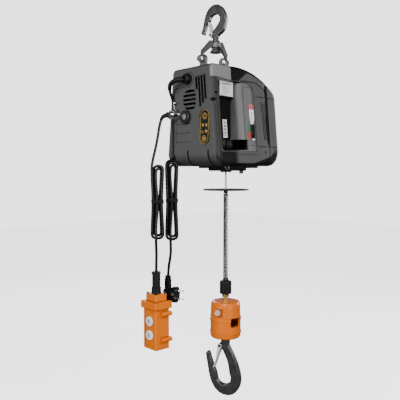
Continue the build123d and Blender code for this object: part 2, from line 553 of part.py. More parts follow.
# ---------------------------------------------------------------- bail
BT0, BT1 = -64.0, -55.0
tp = Plane(origin=(0, 0, -59), x_dir=(1, 0, 0), z_dir=(0, -1, 0))
LEANB = math.degrees(math.asin(PIV_Y / (abs(PIV_Z) - 59)))
arm = None
th = 5.0
sk = Polygon((12.5, 4.4), (15, 9), (19, 9), (TAB_X + 2.5, -17), (TAB_X + 2.5, -36), (TAB_X - 2.5, -36), (TAB_X - 2.5, -24), (14.5, -5.0), (-14.5, -5.0),
             (-TAB_X + 2.5, -24), (-TAB_X + 2.5, -36), (-TAB_X - 2.5, -36), (-TAB_X - 2.5, -17), (-19, 9), (-15, 9), (-12.5, 4.4), align=None)
strap = extrude(tp * sk, amount=4.0, both=True)
drop = math.sqrt((abs(PIV_Z) - 59) ** 2 + PIV_Y ** 2)
strap = strap - box(-60, 60, -20, 20, -59 - drop, -110)
for sx in (-1, 1):
    strap = strap + cyl_x(sx * (TAB_X - 2.5), sx * (TAB_X + 2.5), 0, -59 - drop, 8.8)
strap = Pos(0, 0, -59) * Rot(LEANB, 0, 0) * Pos(0, 0, 59) * strap
bail = strap + cyl_z(-64.5, -54.6, 0, 0, 11.5)
bail = bail - cyl_z(-70, -50, 0, 0, 6.56) - box(-12.5, 12.5, -20, 20, -54.3, -40)
for sx in (-1, 1):
    bail = bail - cyl_x(sx * 30, sx * 45, PIV_Y, PIV_Z, 4.06)
    bail = bail - cyl_x(sx * 30, sx * (TAB_X - 2.9), PIV_Y, PIV_Z, 12.0)
save("bail", bail)
print("upper ok")

# ---------------------------------------------------------------- rope fall and limit gear
RY = ROPE_Y
ROPE_TOP = -190.0
disc = cyl_z(DISC_Z - 1.5, DISC_Z + 1.5, 0, RY, DISC_R) + cyl_z(DISC_Z - 9, DISC_Z - 1.5, 0, RY, 5.2)
disc = disc - cyl_z(-420, -380, 0, RY, 2.8)
save("limit_disc", disc)
# buffer spring: touching turns drawn as a ribbed tube
SPR_R, SPR_W = 6.6, 2.6
spring_prof = Pos(SPR_R - SPR_W, (DISC_Z - 9.4 + SPRING_BOT) / 2) * Rectangle(1.2, (DISC_Z - 9.4 - SPRING_BOT))
n_spr = 62
sp_p = (DISC_Z - 9.4 - SPRING_BOT - SPR_W) / (n_spr - 1)
spring_prof = Pos(0, 0) * spring_prof
for k in range(n_spr):
    spring_prof = spring_prof + Pos(SPR_R - SPR_W / 2, SPRING_BOT + SPR_W / 2 + k * sp_p) * Circle(SPR_W / 2)
sp_pl = Plane(origin=(0, RY, 0), x_dir=(1, 0, 0), z_dir=(0, -1, 0))
save("limit_spring", revolve(sp_pl * spring_prof, axis=Axis((0, RY, 0), (0, 0, 1))))
save("rope_fall", cyl_z(-656, ROPE_TOP, 0, RY, 2.4))
bump = cyl_z(BUMP_BOT, BUMP_TOP, 0, RY, BUMP_R)
bump = fillet(bump.edges().filter_by(GeomType.CIRCLE), 2.5)
bump = bump + cyl_z(BUMP_TOP, SPRING_BOT, 0, RY, 7.2)
bump = bump - cyl_z(-660, -600, 0, RY, 2.4)
save("rope_bumper", bump)
ferr = cyl_z(BLK_TOP - 6, BUMP_BOT, 0, RY, 5.0) + cyl_z(BUMP_BOT - 7.5, BUMP_BOT - 1.5, 0, RY, 8.2)
ferr = ferr - cyl_z(-656, -640, 0, RY, 2.4)
save("rope_ferrule", ferr)

# ---------------------------------------------------------------- hook block
BM = (BLK_TOP + BLK_BOT) / 2
RUN = in_plane(-44.0, 0, RY, BM)


def spun(pts, y):
    sk = Polygon(*pts, align=None)
    pl = Plane(origin=(0, y, 0), x_dir=(1, 0, 0), z_dir=(0, -1, 0))
    return revolve(pl * sk, axis=Axis((0, y, 0), (0, 0, 1)))


blk = spun([(0, BLK_TOP), (27, BLK_TOP), (32, BLK_TOP - 1.5), (34.6, BLK_TOP - 6), (35.0, BLK_TOP - 12), (35.2, BLK_TOP - 36), (37.0, BLK_TOP - 37),
            (37.2, BLK_TOP - 45), (36.0, BLK_TOP - 46), (36.2, BLK_BOT + 16), (37.6, BLK_BOT + 15), (37.6, BLK_BOT + 11.5), (36.2, BLK_BOT + 10.5),
            (35.8, BLK_BOT + 3), (33, BLK_BOT), (0, BLK_BOT)], RY)
cav = spun([(0, BLK_TOP - 4), (27, BLK_TOP - 4), (31, BLK_TOP - 7), (31.2, BLK_BOT + 4), (0, BLK_BOT + 4)], RY)
blk = blk - cav
# rope socket in the roof and hook collar in the floor
blk = blk + cyl_z(BLK_TOP - 14, BLK_TOP - 3, 0, RY, 11) + cyl_z(BLK_BOT, BLK_BOT + 9, 0, RY, 16)
blk = blk - cyl_z(BLK_TOP - 6, BLK_TOP + 1, 0, RY, 5.0) - cyl_z(BLK_TOP - 20, BLK_TOP, 0, RY, 2.6)
blk = blk - cyl_z(BLK_BOT - 1, BLK_BOT + 12, 0, RY, 9.0)
# window to the right of the seam, bolt pockets
def radial(az_deg, z, w, h, d0, d1):
    a = math.radians(az_deg)
    pl = Plane(origin=(0, RY, z), x_dir=(math.cos(a), math.sin(a), 0), z_dir=(math.sin(a), -math.cos(a), 0))
    return extrude(pl.offset(d0) * RectangleRounded(w, h, 2.0), amount=d1 - d0)


def radial_cyl(az_deg, z, r, d0, d1, u=0.0):
    a = math.radians(az_deg)
    pl = Plane(origin=(0, RY, z), x_dir=(math.cos(a), math.sin(a), 0), z_dir=(math.sin(a), -math.cos(a), 0))
    return extrude(pl.offset(d0) * (Pos(u, 0) * Circle(r)), amount=d1 - d0)


WIN_AZ, WIN_Z = -44 + 41, -710.0
for k in (0, 180):
    blk = blk - radial(WIN_AZ + k, WIN_Z, 28, 21, 26, 50)
BOLT_AZ, BOLT_U, BOLT_Z = -44 - 10, -14.0, -687.0
bolts_b = None


def recess(az_deg, d0, d1, w, h):
    a = math.radians(az_deg)
    pl = Plane(origin=(0, RY, BOLT_Z), x_dir=(math.cos(a), math.sin(a), 0), z_dir=(math.sin(a), -math.cos(a), 0))
    return extrude(pl.offset(d0) * (Pos(-13.5, 0) * RectangleRounded(w, h, 2.0)), amount=d1 - d0)


for k in (0, 180):
    blk = blk + (recess(BOLT_AZ + k, 23, 34, 29, 24) & spun([(0, BLK_TOP - 2), (33, BLK_TOP - 2), (35, BLK_TOP - 12), (35, BLK_BOT + 4), (0, BLK_BOT + 4)], RY))
for k in (0, 180):
    blk = blk - recess(BOLT_AZ + k, 27, 60, 25, 20)
    blk = blk - radial_cyl(BOLT_AZ + k, BOLT_Z, 2.5, -1, 60, BOLT_U)
a = math.radians(BOLT_AZ)
half_pl = Plane(origin=(0, RY, 0), x_dir=(math.cos(a), math.sin(a), 0), z_dir=(math.sin(a), -math.cos(a), 0))
front_keep = extrude(half_pl * Rectangle(200, 2000), amount=100)
block_front = blk & front_keep
block_rear = blk - front_keep
# a narrow groove along the joint
groove = extrude(half_pl.offset(-0.5) * Rectangle(200, 2000), amount=1.0) & (cyl_z(BLK_BOT - 5, BLK_TOP + 5, 0, RY, 50) - cyl_z(BLK_BOT - 6, BLK_TOP + 6, 0, RY, 35.4))
block_front = block_front - groove
block_rear = block_rear - groove
save("block_half_front", block_front)
save("block_half_rear", block_rear)
for k in (0, 180):
    b = radial_cyl(BOLT_AZ + k, BOLT_Z, 2.5, 0.0, 27, BOLT_U) + radial_cyl(BOLT_AZ + k, BOLT_Z, 6.8, 27.02, 31.5, BOLT_U)
    b = b - radial_cyl(BOLT_AZ + k, BOLT_Z, 3.0, 29.4, 32, BOLT_U)
    bolts_b = b if bolts_b is None else bolts_b + b
save("block_bolts", bolts_b)

# load hook
PLH = in_plane(LOAD_AZ, 0, RY, LOAD_BOWL_Z)
CU = -2.5
lz = lambda z: z - LOAD_BOWL_Z
a0, a1 = math.radians(20), math.radians(-172)
i0 = (CU + LOAD_R * math.cos(a0), LOAD_R * math.sin(a0))
i1 = (CU + LOAD_R * math.cos(a1), LOAD_R * math.sin(a1))
am = (a0 + a1) / 2
imid = (CU + LOAD_R * math.cos(am), LOAD_R * math.sin(am))
load_edges = Curve() + [
    Spline([(8.5, lz(-764)), (12, lz(-775)), (20, lz(-790)), (29, lz(-810)), (36.5, lz(-833)), (38.8, lz(-852)), (33.5, lz(-873)), (21, lz(-886.5)), (3, lz(-890.5)),
            (-16, lz(-884.5)), (-30.5, lz(-868)), (-39.0, lz(-845)), (-44.5, lz(-815)), (-48.0, lz(-795))], tangents=[(0.0, -1.0), (-0.16, 1.0)]),
    Spline([(-48.0, lz(-795)), (-45.5, lz(-790.6)), (-41.0, lz(-790.8)), (-38.6, lz(-795))]),
    Spline([(-38.6, lz(-795)), (-32, lz(-815)), (-24.5, lz(-833)), i1], tangents=[(5.5, -20), (0.12, -1.0)]),
    ThreePointArc(i1, imid, i0),
    Spline([i0, (9.5, lz(-820)), (2.5, lz(-797)), (-4.5, lz(-783.5)), (-8.5, lz(-773)), (-8.5, lz(-764))], tangents=[(-math.sin(a0), math.cos(a0)), (0, 1.0)]),
    Line((-8.5, lz(-764)), (8.5, lz(-764))),
]
load_body = extrude(PLH * make_face(load_edges), amount=8.5, both=True)
load_body = soften(load_body, 4.5, lambda e: abs(e.center().Z + 764) < 0.5)
lbu, lbv = -11.5, lz(-771.0)
load_hook = load_body + cyl_z(-769, -740, 0, RY, 8.92) + cyl_z(-766, -751.0, 0, RY, 11.0)
load_hook = load_hook + cyl_n(PLH, lbu, lbv, -6, 6, 5.0) + cyl_n(PLH, -7.5, lbv, -6, 6, 5.0)
load_hook = load_hook - cyl_n(PLH, lbu, lbv, -20, 20, 1.8)
load_hook = load_hook + cyl_z(-740, -722, 0, RY, 6.0)
load_hook = load_hook + cyl_n(PLH, lbu, lbv, -11.5, 11.5, 1.8) + cyl_n(PLH, lbu, lbv, -13.0, -11.4, 3.2) + cyl_n(PLH, lbu, lbv, 11.4, 13.0, 3.2)
save("load_hook", load_hook)
save("load_latch", latch(PLH, lbu, lbv, -27.8, lz(-822), 11.0, 1.6, 1.8, 5.0, 2.0))
hook_nut = Pos(0, RY, -729.5) * extrude(RegularPolygon(11.0, 6), 4.0, both=True) - cyl_z(-760, -700, 0, RY, 6.0)
save("load_hook_nut", hook_nut)
save("hook_thrust_bearing", cyl_z(BLK_BOT + 9, -734.2, 0, RY, 13.5) - cyl_z(-760, -700, 0, RY, 9.0))

# ---------------------------------------------------------------- pendant
PX, PY = -138.0, 55.0
DX, DY = 41.0, 47.0
PZ1, PZ0 = -657.0, -769.0
body = box(PX - DX / 2, PX + DX / 2, PY - DY / 2, PY + DY / 2, PZ0, PZ1)
body = fillet(body.edges().filter_by(Axis.Z), 3.0)
body = body + fillet(box(PX - DX / 2 - 4.5, PX + DX / 2 + 4.5, PY - DY / 2 - 5, PY + DY / 2 + 5, -674, PZ1).edges(), 2.5)
body = fillet(body.faces().sort_by(Axis.Z)[0].edges(), 2.5)
for z in (-686, -746):
    for s in (-1, 1):
        body = body + cyl_x(PX - 6, PX + DX / 2 + 2.5, PY + s * (DY / 2 + 2.0), z, 5.5)
inner = box(PX - DX / 2 + 2.4, PX + DX / 2 - 2.4, PY - DY / 2 + 2.4, PY + DY / 2 - 2.4, PZ0 + 2.4, PZ1 + 1)
body = body - inner
# recessed button face
body = body - box(PX - DX / 2 - 1, PX - DX / 2 + 0.8, PY - 17.5, PY + 17.5, -760, -680)
for z in (-703, -735.5):
    body = body - cyl_x(PX - DX / 2 - 2, PX - DX / 2 + 6, PY, z, 12.0)
# screw holes for the case
for z in (-686, -746):
    for s in (-1, 1):
        body = body - cyl_x(PX + 12, PX + DX / 2 + 4, PY + s * (DY / 2 + 2.5), z, 2.1)
split = box(PX + 2, PX + 60, PY - 60, PY + 60, -800, -600)
front_p = body - split
rear_p = body & split
save("pendant_front_shell", front_p)
save("pendant_rear_shell", rear_p)
capp = box(PX - 17, PX + 17, PY - 19.5, PY + 19.5, PZ1, -640)
capp = fillet(capp.edges().filter_by(Axis.Z), 4)
capp = fillet(capp.faces().sort_by(Axis.Z)[-1].edges(), 2.0)
capp = capp - box(PX - 14.5, PX + 14.5, PY - 17, PY + 17, -660, -643.5) - cyl_z(-660, -630, PX, PY, 9.0)
for sx, sy in ((-1, -1), (1, -1), (-1, 1), (1, 1)):
    capp = capp - cyl_z(-645, -638, PX + sx * 13.2, PY + sy * 15.6, 1.6)
save("pendant_cap", capp)
scr = None
for sx, sy in ((-1, -1), (1, -1), (-1, 1), (1, 1)):
    s1 = cyl_z(-643.5, -640, PX + sx * 13.2, PY + sy * 15.6, 1.6) + cyl_z(-640, -637.6, PX + sx * 13.2, PY + sy * 15.6, 3.0)
    scr = s1 if scr is None else scr + s1
for z in (-686, -746):
    for s in (-1, 1):
        scr = scr + cyl_x(PX + 12.2, PX + DX / 2 + 1.9, PY + s * (DY / 2 + 2.5), z, 2.1)
save("case_screws", scr + sc)
slv = spun([(0, -589), (9.5, -589), (11.0, -591), (11.0, -594), (9.6, -595), (9.6, -624), (11.2, -626), (11.2, -640), (8.9, -640), (8.9, -646), (12, -646), (12, -648.5), (0, -648.5)], 0)
slv = Pos(PX, PY, 0) * (slv - cyl_z(-650, -580, 0, 0, 3.5))
slv = slv & box(PX - 14, PX + 14, PY - 16, PY + 16, -700, -500)
for k in range(16):
    slv = slv - Pos(PX, PY, -609.5) * Rot(0, 0, k * 22.5) * Pos(9.9, 0, 0) * Box(1.0, 1.3, 26)
save("pendant_sleeve", slv)
blk_sw = box(PX - 10, PX + 12, PY - 15, PY + 15, -755, -684)
blk_sw = fillet(blk_sw.edges().filter_by(Axis.X), 2)
save("pendant_switch_block", blk_sw)
for n, z in (("button_up", -703.0), ("button_down", -735.5)):
    bt = cyl_x(PX - DX / 2 - 2.2, PX - DX / 2 + 5.2, PY, z, 11.6)
    bt = fillet(bt.edges().filter_by(GeomType.CIRCLE).group_by(Axis.X)[0], 1.6)
    bt = bt + cyl_x(PX - DX / 2 + 5.2, PX - 13.3, PY, z, 4.0)
    save(n, bt)

# ---------------------------------------------------------------- cords
def tube(pts, d):
    """Straight runs joined by tangent arcs, each of radius 0.45 x the shorter run / tan(half turn)."""
    V = [Vector(*p) for p in pts]
    edges = []
    here = V[0]
    for i in range(1, len(V) - 1):
        a, b = (V[i] - V[i - 1]), (V[i + 1] - V[i])
        turn = math.radians(a.get_angle(b))
        run = min(a.length, b.length)
        t = 0.45 * run
        r = t / math.tan(turn / 2)
        p0 = V[i] - a.normalized() * t
        p1 = V[i] + b.normalized() * t
        bis = (b.normalized() - a.normalized()).normalized()
        c = V[i] + bis * (r / math.cos(turn / 2))
        pm = c - bis * r
        edges.append(Line(here, p0))
        edges.append(ThreePointArc(p0, pm, p1))
        here = p1
        print("   arc radius", round(r, 1), "in diameters", round(r / d, 2), "run", round(a.length, 1))
    edges.append(Line(here, V[-1]))
    w = Wire(edges)
    start = Plane(origin=V[0], z_dir=(V[1] - V[0]).normalized())
    print("   length", round(w.length, 1))
    return sweep(start * Circle(d / 2), path=w)


HU = Vector(math.cos(math.radians(44)), -math.sin(math.radians(44)), 0)     # hank width direction
HN = Vector(math.sin(math.radians(44)), math.cos(math.radians(44)), 0)


def hank(cx, cy, z1, z0, w=33.0, col=12.6, t=13.0, pinch=3.0):
    """A coiled length as one closed solid: a long loop, tied at its middle."""
    zc, h = (z1 + z0) / 2, z1 - z0
    pl = Plane(origin=(cx, cy, zc), x_dir=tuple(HU), z_dir=tuple(-HN))
    outer = RectangleRounded(w, h, w / 2 - 0.05)
    hole = RectangleRounded(w - 2 * col, h - 2 * col, (w - 2 * col) / 2 - 0.05)
    s = extrude(pl * (outer - hole), amount=t / 2, both=True)
    return soften(s, 5.0)


H1 = (-135.5, 52.5, -338.0, -515.0)
H2 = (-91.0, 54.0, -330.0, -521.0)
save("pendant_cord_hank", hank(*H1))
save("mains_cord_hank", hank(*H2))


def hp(H, u, z, n=0.0):
    return (H[0] + HU.X * u + HN.X * n, H[1] + HU.Y * u + HN.Y * n, z)


PEND_UP = [(-95, 48.5, -226), (-119, 48.8, -226.4), (-129.5, 49.5, -243), (-136, 53, -292), hp(H1, -7.0, -348)]
PEND_LOW = [hp(H1, -2, -505), hp(H1, -1.0, -545), (PX, PY, -585), (PX, PY, -640)]
MAINS_UP = [(-72, 8, -146), (-97, 11, -146.5), (-109, 36, -152), (-97, 56, -168), (-79.2, 62, -192), (-75.6, CH_Y, -235), (-75.4, CH_Y, -300), (-79.5, 60, -334), hp(H2, 4.5, -362)]
NX, NY = -98.0, 61.0
MAINS_LOW = [hp(H2, 4.0, -510), hp(H2, 0.0, -552), (NX, NY, -592), (NX, NY, -633)]
for n, routes in (("pendant_cord", (PEND_UP, PEND_LOW)), ("mains_cord", (MAINS_UP, MAINS_LOW))):
    print(n)
    save(n, [tube(r, CORD_D) for r in routes])

# ---------------------------------------------------------------- plug
D_AZ = math.radians(20.0)
f = HN
dv = Vector(HU.X * math.cos(D_AZ) - HN.X * math.sin(D_AZ), HU.Y * math.cos(D_AZ) - HN.Y * math.sin(D_AZ), 0)
pp = Plane(origin=(NX, NY, -649), z_dir=tuple(dv), x_dir=(-dv.Y, dv.X, 0))
pb = extrude(pp.offset(-9) * Circle(15.5), amount=9)
pb = pb + loft([pp.offset(0) * Circle(15.5), pp.offset(15) * Circle(17.5)])
pb = pb + extrude(pp.offset(15) * Circle(19.3), amount=8)
pb = fillet(pb.edges().filter_by(GeomType.CIRCLE).sort_by(lambda e: e.center().X)[0], 4)
pb = pb + cyl_z(-646, -612, NX, NY, 8.2)
for k in range(4):
    pb = pb + (cyl_z(-606 - 4 * k - 2.4, -606 - 4 * k, NX, NY, 8.0 if k == 0 else 7.2))
pb = pb + cyl_z(-622, -604, NX, NY, 6.2)
pb = pb - cyl_z(-634, -600, NX, NY, 3.5)
pins = None
for s in (-9.5, 9.5):
    # the pins stand one above the other
    p = extrude(Plane(origin=Vector(NX, NY, -649 + s) + dv * 17.0, z_dir=tuple(dv)) * Circle(2.4), amount=25)
    p = fillet(p.edges().filter_by(GeomType.CIRCLE).sort_by(lambda e: (e.center() - Vector(NX, NY, -649)).length)[-1], 1.2)
    pb = pb - p
    pins = p if pins is None else pins + p
save("mains_plug", pb)
save("mains_plug_pins", pins)
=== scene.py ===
"""Looks for the portable electric wire-rope hoist: materials, cords, rope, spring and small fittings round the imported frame."""
import math

import bpy
import bmesh
from mathutils import Matrix, Vector


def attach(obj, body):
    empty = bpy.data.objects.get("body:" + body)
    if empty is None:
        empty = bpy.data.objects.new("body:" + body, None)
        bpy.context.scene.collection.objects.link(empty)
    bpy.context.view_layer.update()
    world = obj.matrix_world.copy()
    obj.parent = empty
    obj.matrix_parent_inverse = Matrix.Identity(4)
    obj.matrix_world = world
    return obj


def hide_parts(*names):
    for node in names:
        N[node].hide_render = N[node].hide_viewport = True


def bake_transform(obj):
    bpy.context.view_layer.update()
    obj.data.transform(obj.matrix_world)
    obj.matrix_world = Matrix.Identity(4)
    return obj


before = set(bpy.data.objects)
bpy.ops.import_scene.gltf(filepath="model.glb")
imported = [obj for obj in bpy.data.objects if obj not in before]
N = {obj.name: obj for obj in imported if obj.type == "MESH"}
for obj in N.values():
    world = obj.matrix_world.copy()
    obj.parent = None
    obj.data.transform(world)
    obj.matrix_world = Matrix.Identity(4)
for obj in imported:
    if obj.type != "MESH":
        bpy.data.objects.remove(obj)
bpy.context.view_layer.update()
MM = 0.001


# ------------------------------------------------------------------ material helpers
class Mat:
    def __init__(self, name):
        self.m = bpy.data.materials.new(name)
        self.m.use_nodes = True
        self.t = self.m.node_tree
        self.t.nodes.clear()
        self.out = self.t.nodes.new("ShaderNodeOutputMaterial")
        self.b = self.t.nodes.new("ShaderNodeBsdfPrincipled")
        self.t.links.new(self.b.outputs[0], self.out.inputs[0])
        self.coord = None

    def node(self, kind, **kw):
        n = self.t.nodes.new(kind)
        for k, v in kw.items():
            setattr(n, k, v)
        return n

    def link(self, a, b):
        self.t.links.new(a, b)

    def pos(self):
        if self.coord is None:
            self.coord = self.node("ShaderNodeTexCoord")
        return self.coord.outputs["Object"]

    def noise(self, scale, detail=3.0, rough=0.5, stretch=None, dist=0.0):
        n = self.node("ShaderNodeTexNoise")
        n.inputs["Scale"].default_value = scale
        n.inputs["Detail"].default_value = detail
        n.inputs["Roughness"].default_value = rough
        n.inputs["Distortion"].default_value = dist
        if stretch:
            mp = self.node("ShaderNodeMapping")
            mp.inputs["Scale"].default_value = stretch
            self.link(self.pos(), mp.inputs[0])
            self.link(mp.outputs[0], n.inputs["Vector"])
        else:
            self.link(self.pos(), n.inputs["Vector"])
        return n.outputs["Fac"]

    def ramp(self, fac, stops):
        r = self.node("ShaderNodeValToRGB")
        e = r.color_ramp.elements
        while len(e) > 1:
            e.remove(e[-1])
        e[0].position, e[0].color = stops[0][0], (*stops[0][1], 1)
        for p, c in stops[1:]:
            x = e.new(p)
            x.color = (*c, 1)
        self.link(fac, r.inputs[0])
        return r.outputs[0]

    def maprange(self, fac, a, b, c, d):
        r = self.node("ShaderNodeMapRange")
        for i, v in ((1, a), (2, b), (3, c), (4, d)):
            r.inputs[i].default_value = v
        self.link(fac, r.inputs[0])
        return r.outputs[0]

    def math(self, op, a, b=None, clamp=False):
        n = self.node("ShaderNodeMath", operation=op, use_clamp=clamp)
        for i, v in enumerate((a, b)):
            if v is None:
                continue
            if isinstance(v, (int, float)):
                n.inputs[i].default_value = v
            else:
                self.link(v, n.inputs[i])
        return n.outputs[0]

    def mix(self, fac, a, b):
        n = self.node("ShaderNodeMix", data_type="RGBA")
        if isinstance(fac, (int, float)):
            n.inputs[0].default_value = fac
        else:
            self.link(fac, n.inputs[0])
        for i, v in ((6, a), (7, b)):
            if isinstance(v, tuple):
                n.inputs[i].default_value = (*v, 1)
            else:
                self.link(v, n.inputs[i])
        return n.outputs[2]

    def bump(self, height, strength, distance, prev=None):
        n = self.node("ShaderNodeBump")
        n.inputs["Strength"].default_value = strength
        n.inputs["Distance"].default_value = distance
        self.link(height, n.inputs["Height"])
        if prev is not None:
            self.link(prev, n.inputs["Normal"])
        return n.outputs[0]

    def set(self, color=None, rough=None, metal=None, normal=None, spec=None, coat=None, coat_rough=None, sheen=None):
        for key, v in (("Base Color", color), ("Roughness", rough), ("Metallic", metal), ("Normal", normal), ("Specular IOR Level", spec), ("Coat Weight", coat), ("Coat Roughness", coat_rough), ("Sheen Weight", sheen)):
            if v is None:
                continue
            s = self.b.inputs[key]
            if isinstance(v, tuple):
                s.default_value = (*v, 1)
            elif isinstance(v, (int, float)):
                s.default_value = v
            else:
                self.link(v, s)
        return self


def crevice_shade(m, col, reach=0.007, lo=0.35, hi=0.85, dark=(0.004, 0.004, 0.004)):
    """Painted shade: grooves and inside corners darkened from an ambient occlusion mask."""
    ao = m.node("ShaderNodeAmbientOcclusion", samples=6)
    ao.inputs["Distance"].default_value = reach
    f = m.maprange(ao.outputs["AO"], lo, hi, 0.85, 0.0)
    return m.mix(f, col, dark)


def moulded(name, c0, c1, rough=0.42, grain=900, bump=0.25, var=6.0, coat=0.0, spec=0.25, dark=None):
    """Moulded plastic: two close tones in soft clouds, a fine spark-eroded grain, and rubbed patches."""
    m = Mat(name)
    cloud = m.noise(var, 4, 0.55)
    fine = m.noise(grain, 2, 0.6)
    col = m.ramp(cloud, [(0.32, c0), (0.68, c1)])
    spk = m.maprange(fine, 0.35, 0.75, 0.0, 1.0)
    col = m.mix(m.math("MULTIPLY", spk, 0.18), col, tuple(min(1.0, x * 1.55 + 0.012) for x in c1))
    # painted shade in grooves and inside corners, when a shade colour is given
    if dark:
        col = crevice_shade(m, col, 0.006, 0.35, 0.9, dark)
    r1 = m.maprange(m.noise(var * 3.2, 5, 0.6), 0.3, 0.7, rough - 0.06, rough + 0.08)
    nrm = m.bump(fine, bump, 0.00012)
    nrm = m.bump(m.noise(38, 2, 0.5), 0.06, 0.0012, nrm)
    return m.set(color=col, rough=r1, metal=0.0, normal=nrm, coat=coat, coat_rough=0.12, spec=spec).m


def metal(name, c0, c1, rough=0.3, scale=60, bump=0.12, metallic=1.0, stretch=None, fine=700):
    m = Mat(name)
    a = m.noise(scale, 5, 0.6, stretch)
    f = m.noise(fine, 3, 0.6, stretch)
    col = m.ramp(a, [(0.3, c0), (0.7, c1)])
    rr = m.maprange(m.noise(scale * 0.6, 5, 0.65), 0.3, 0.7, rough - 0.07, rough + 0.1)
    nrm = m.bump(f, bump, 0.0001)
    nrm = m.bump(a, bump * 0.5, 0.0005, nrm)
    return m.set(color=col, rough=rr, metal=metallic, normal=nrm).m


def rubber(name, c0, c1, rough=0.62, grain=1500, bump=0.3):
    m = Mat(name)
    f = m.noise(grain, 3, 0.6)
    cl = m.noise(14, 4, 0.6)
    col = m.ramp(cl, [(0.3, c0), (0.7, c1)])
    dust = m.maprange(f, 0.55, 0.8, 0.0, 0.14)
    col = m.mix(dust, col, (0.05, 0.049, 0.047))
    rr = m.maprange(cl, 0.3, 0.7, rough - 0.08, rough + 0.07)
    return m.set(color=col, rough=rr, normal=m.bump(f, bump, 0.0001), spec=0.18).m


def casing_mat(name, c0, c1, rough, recess=True):
    """Dark moulded casing. Inside the hand-hold and in the channel round the panel it is painted a glossier near-black,
    as painted shade.
    """
    m = Mat(name)
    sep = m.node("ShaderNodeSeparateXYZ")
    m.link(m.pos(), sep.inputs[0])
    X, Y, Z = sep.outputs
    cloud = m.noise(5.0, 4, 0.5)
    fine = m.noise(950, 2, 0.6)
    col = m.ramp(cloud, [(0.3, c0), (0.7, c1)])
    spk = m.math("MULTIPLY", m.maprange(fine, 0.35, 0.75, 0.0, 1.0), 0.16)
    col = m.mix(spk, col, tuple(x * 1.6 + 0.012 for x in c1))
    rr = m.maprange(m.noise(16, 5, 0.6), 0.3, 0.7, rough - 0.05, rough + 0.07)
    if recess:
        # depth behind the leaning front face, in metres
        face = m.math("ADD", m.math("MULTIPLY", m.math("ADD", Z, 0.117), math.tan(math.radians(5.4))), -0.0683)
        depth = m.math("SUBTRACT", Y, face)
        deep = m.maprange(depth, 0.0018, 0.0025, 0.0, 1.0)
        front = m.maprange(Y, -0.0425, -0.044, 0.0, 1.0)
        mask = m.math("MULTIPLY", deep, front)
        inx = m.math("MULTIPLY", m.maprange(X, -0.064, -0.0625, 0.0, 1.0), m.maprange(X, 0.112, 0.118, 1.0, 0.0))
        mask = m.math("MULTIPLY", mask, inx, clamp=True)
        # painted shade: surfaces more than 2 mm behind the front face, in the hand-hold and the channel, are painted
        # near-black
        col = m.mix(mask, col, (0.006, 0.006, 0.0065))
        rr2 = m.node("ShaderNodeMix", data_type="FLOAT")
        m.link(mask, rr2.inputs[0])
        m.link(rr, rr2.inputs[2])
        rr2.inputs[3].default_value = 0.3
        rr = rr2.outputs[0]
    # glossy black band painted over the arch, running on narrower down the right side and round the foot: partly a
    # black trim, partly painted shade and dark reflection of the recessed glossy channel there
    def chain(op, *v):
        x = v[0]
        for y in v[1:]:
            x = m.math(op, x, y)
        return x

    zc = m.math("ADD", Z, 0.307)
    rad = m.math("SQRT", m.math("ADD", m.math("MULTIPLY", X, X), m.math("MULTIPLY", zc, zc)))
    d_top = m.math("SUBTRACT", 0.190, rad)
    up = m.maprange(Z, -0.30, -0.28, 1.0, 0.0)
    d_top = m.math("ADD", d_top, m.math("MULTIPLY", up, 1.0))
    fronty = m.maprange(Y, -0.050, -0.052, 0.0, 1.0)
    wide = m.maprange(X, 0.004, 0.034, 0.034, 0.0085)
    arch = m.maprange(m.math("SUBTRACT", wide, d_top), -0.0002, 0.0002, 0.0, 1.0)
    edge = m.math("ADD", m.math("MULTIPLY", m.math("ADD", Z, 0.1225), 0.553), -0.025)
    arch = chain("MULTIPLY", arch, m.maprange(m.math("SUBTRACT", X, edge), -0.0003, 0.0003, 0.0, 1.0), m.maprange(X, 0.0995, 0.1010, 1.0, 0.0), m.maprange(Z, -0.200, -0.170, 0.0, 1.0))
    band = chain("MULTIPLY", m.maprange(X, 0.0897, 0.0903, 0.0, 1.0), m.maprange(X, 0.1000, 0.1008, 1.0, 0.0), m.maprange(Z, -0.302, -0.290, 0.0, 1.0), m.maprange(Z, -0.156, -0.150, 1.0, 0.0))
    d_right = m.math("SUBTRACT", 0.134, X)
    d_bot = m.math("ADD", Z, 0.345)
    dx = m.math("MAXIMUM", m.math("SUBTRACT", 0.040, d_right), 0.0)
    dz = m.math("MAXIMUM", m.math("SUBTRACT", 0.040, d_bot), 0.0)
    corner = m.math("SUBTRACT", 0.040, m.math("SQRT", m.math("ADD", m.math("MULTIPLY", dx, dx), m.math("MULTIPLY", dz, dz))))
    hb = m.maprange(X, 0.040, 0.105, 0.0065, 0.0240)
    foot = chain("MULTIPLY", m.maprange(m.math("SUBTRACT", hb, corner), -0.0002, 0.0002, 0.0, 1.0), m.maprange(Z, -0.318, -0.300, 1.0, 0.0), m.maprange(X, -0.0205, -0.0200, 0.0, 1.0))
    hood = m.math("MULTIPLY", chain("MAXIMUM", arch, band, foot), fronty, clamp=True)
    # painted shade and dark reflection, with the trim's own black
    col = m.mix(hood, col, (0.0045, 0.0045, 0.0048))
    # painted shade in grooves and inside corners
    col = crevice_shade(m, col)
    hr = m.node("ShaderNodeMix", data_type="FLOAT")
    m.link(hood, hr.inputs[0])
    m.link(rr, hr.inputs[2])
    hr.inputs[3].default_value = 0.28
    rr = hr.outputs[0]
    # painted shadow: the recess under the hand-hold is painted near-black, and painted shade darkens the rounding that
    # turns under the corner strip
    well = m.math("MULTIPLY", m.maprange(X, -0.073, -0.064, 0.0, 1.0), m.maprange(X, -0.022, -0.008, 1.0, 0.0))
    well = m.math("MULTIPLY", m.math("MULTIPLY", well, m.maprange(Z, -0.3105, -0.3140, 0.0, 1.0)), fronty, clamp=True)
    col = m.mix(well, col, (0.0035, 0.0035, 0.0037))
    roll = m.math("MULTIPLY", m.maprange(Z, -0.313, -0.327, 0.0, 0.85), m.maprange(X, -0.02, -0.05, 0.0, 1.0), clamp=True)
    col = m.mix(roll, col, (0.008, 0.008, 0.0083))
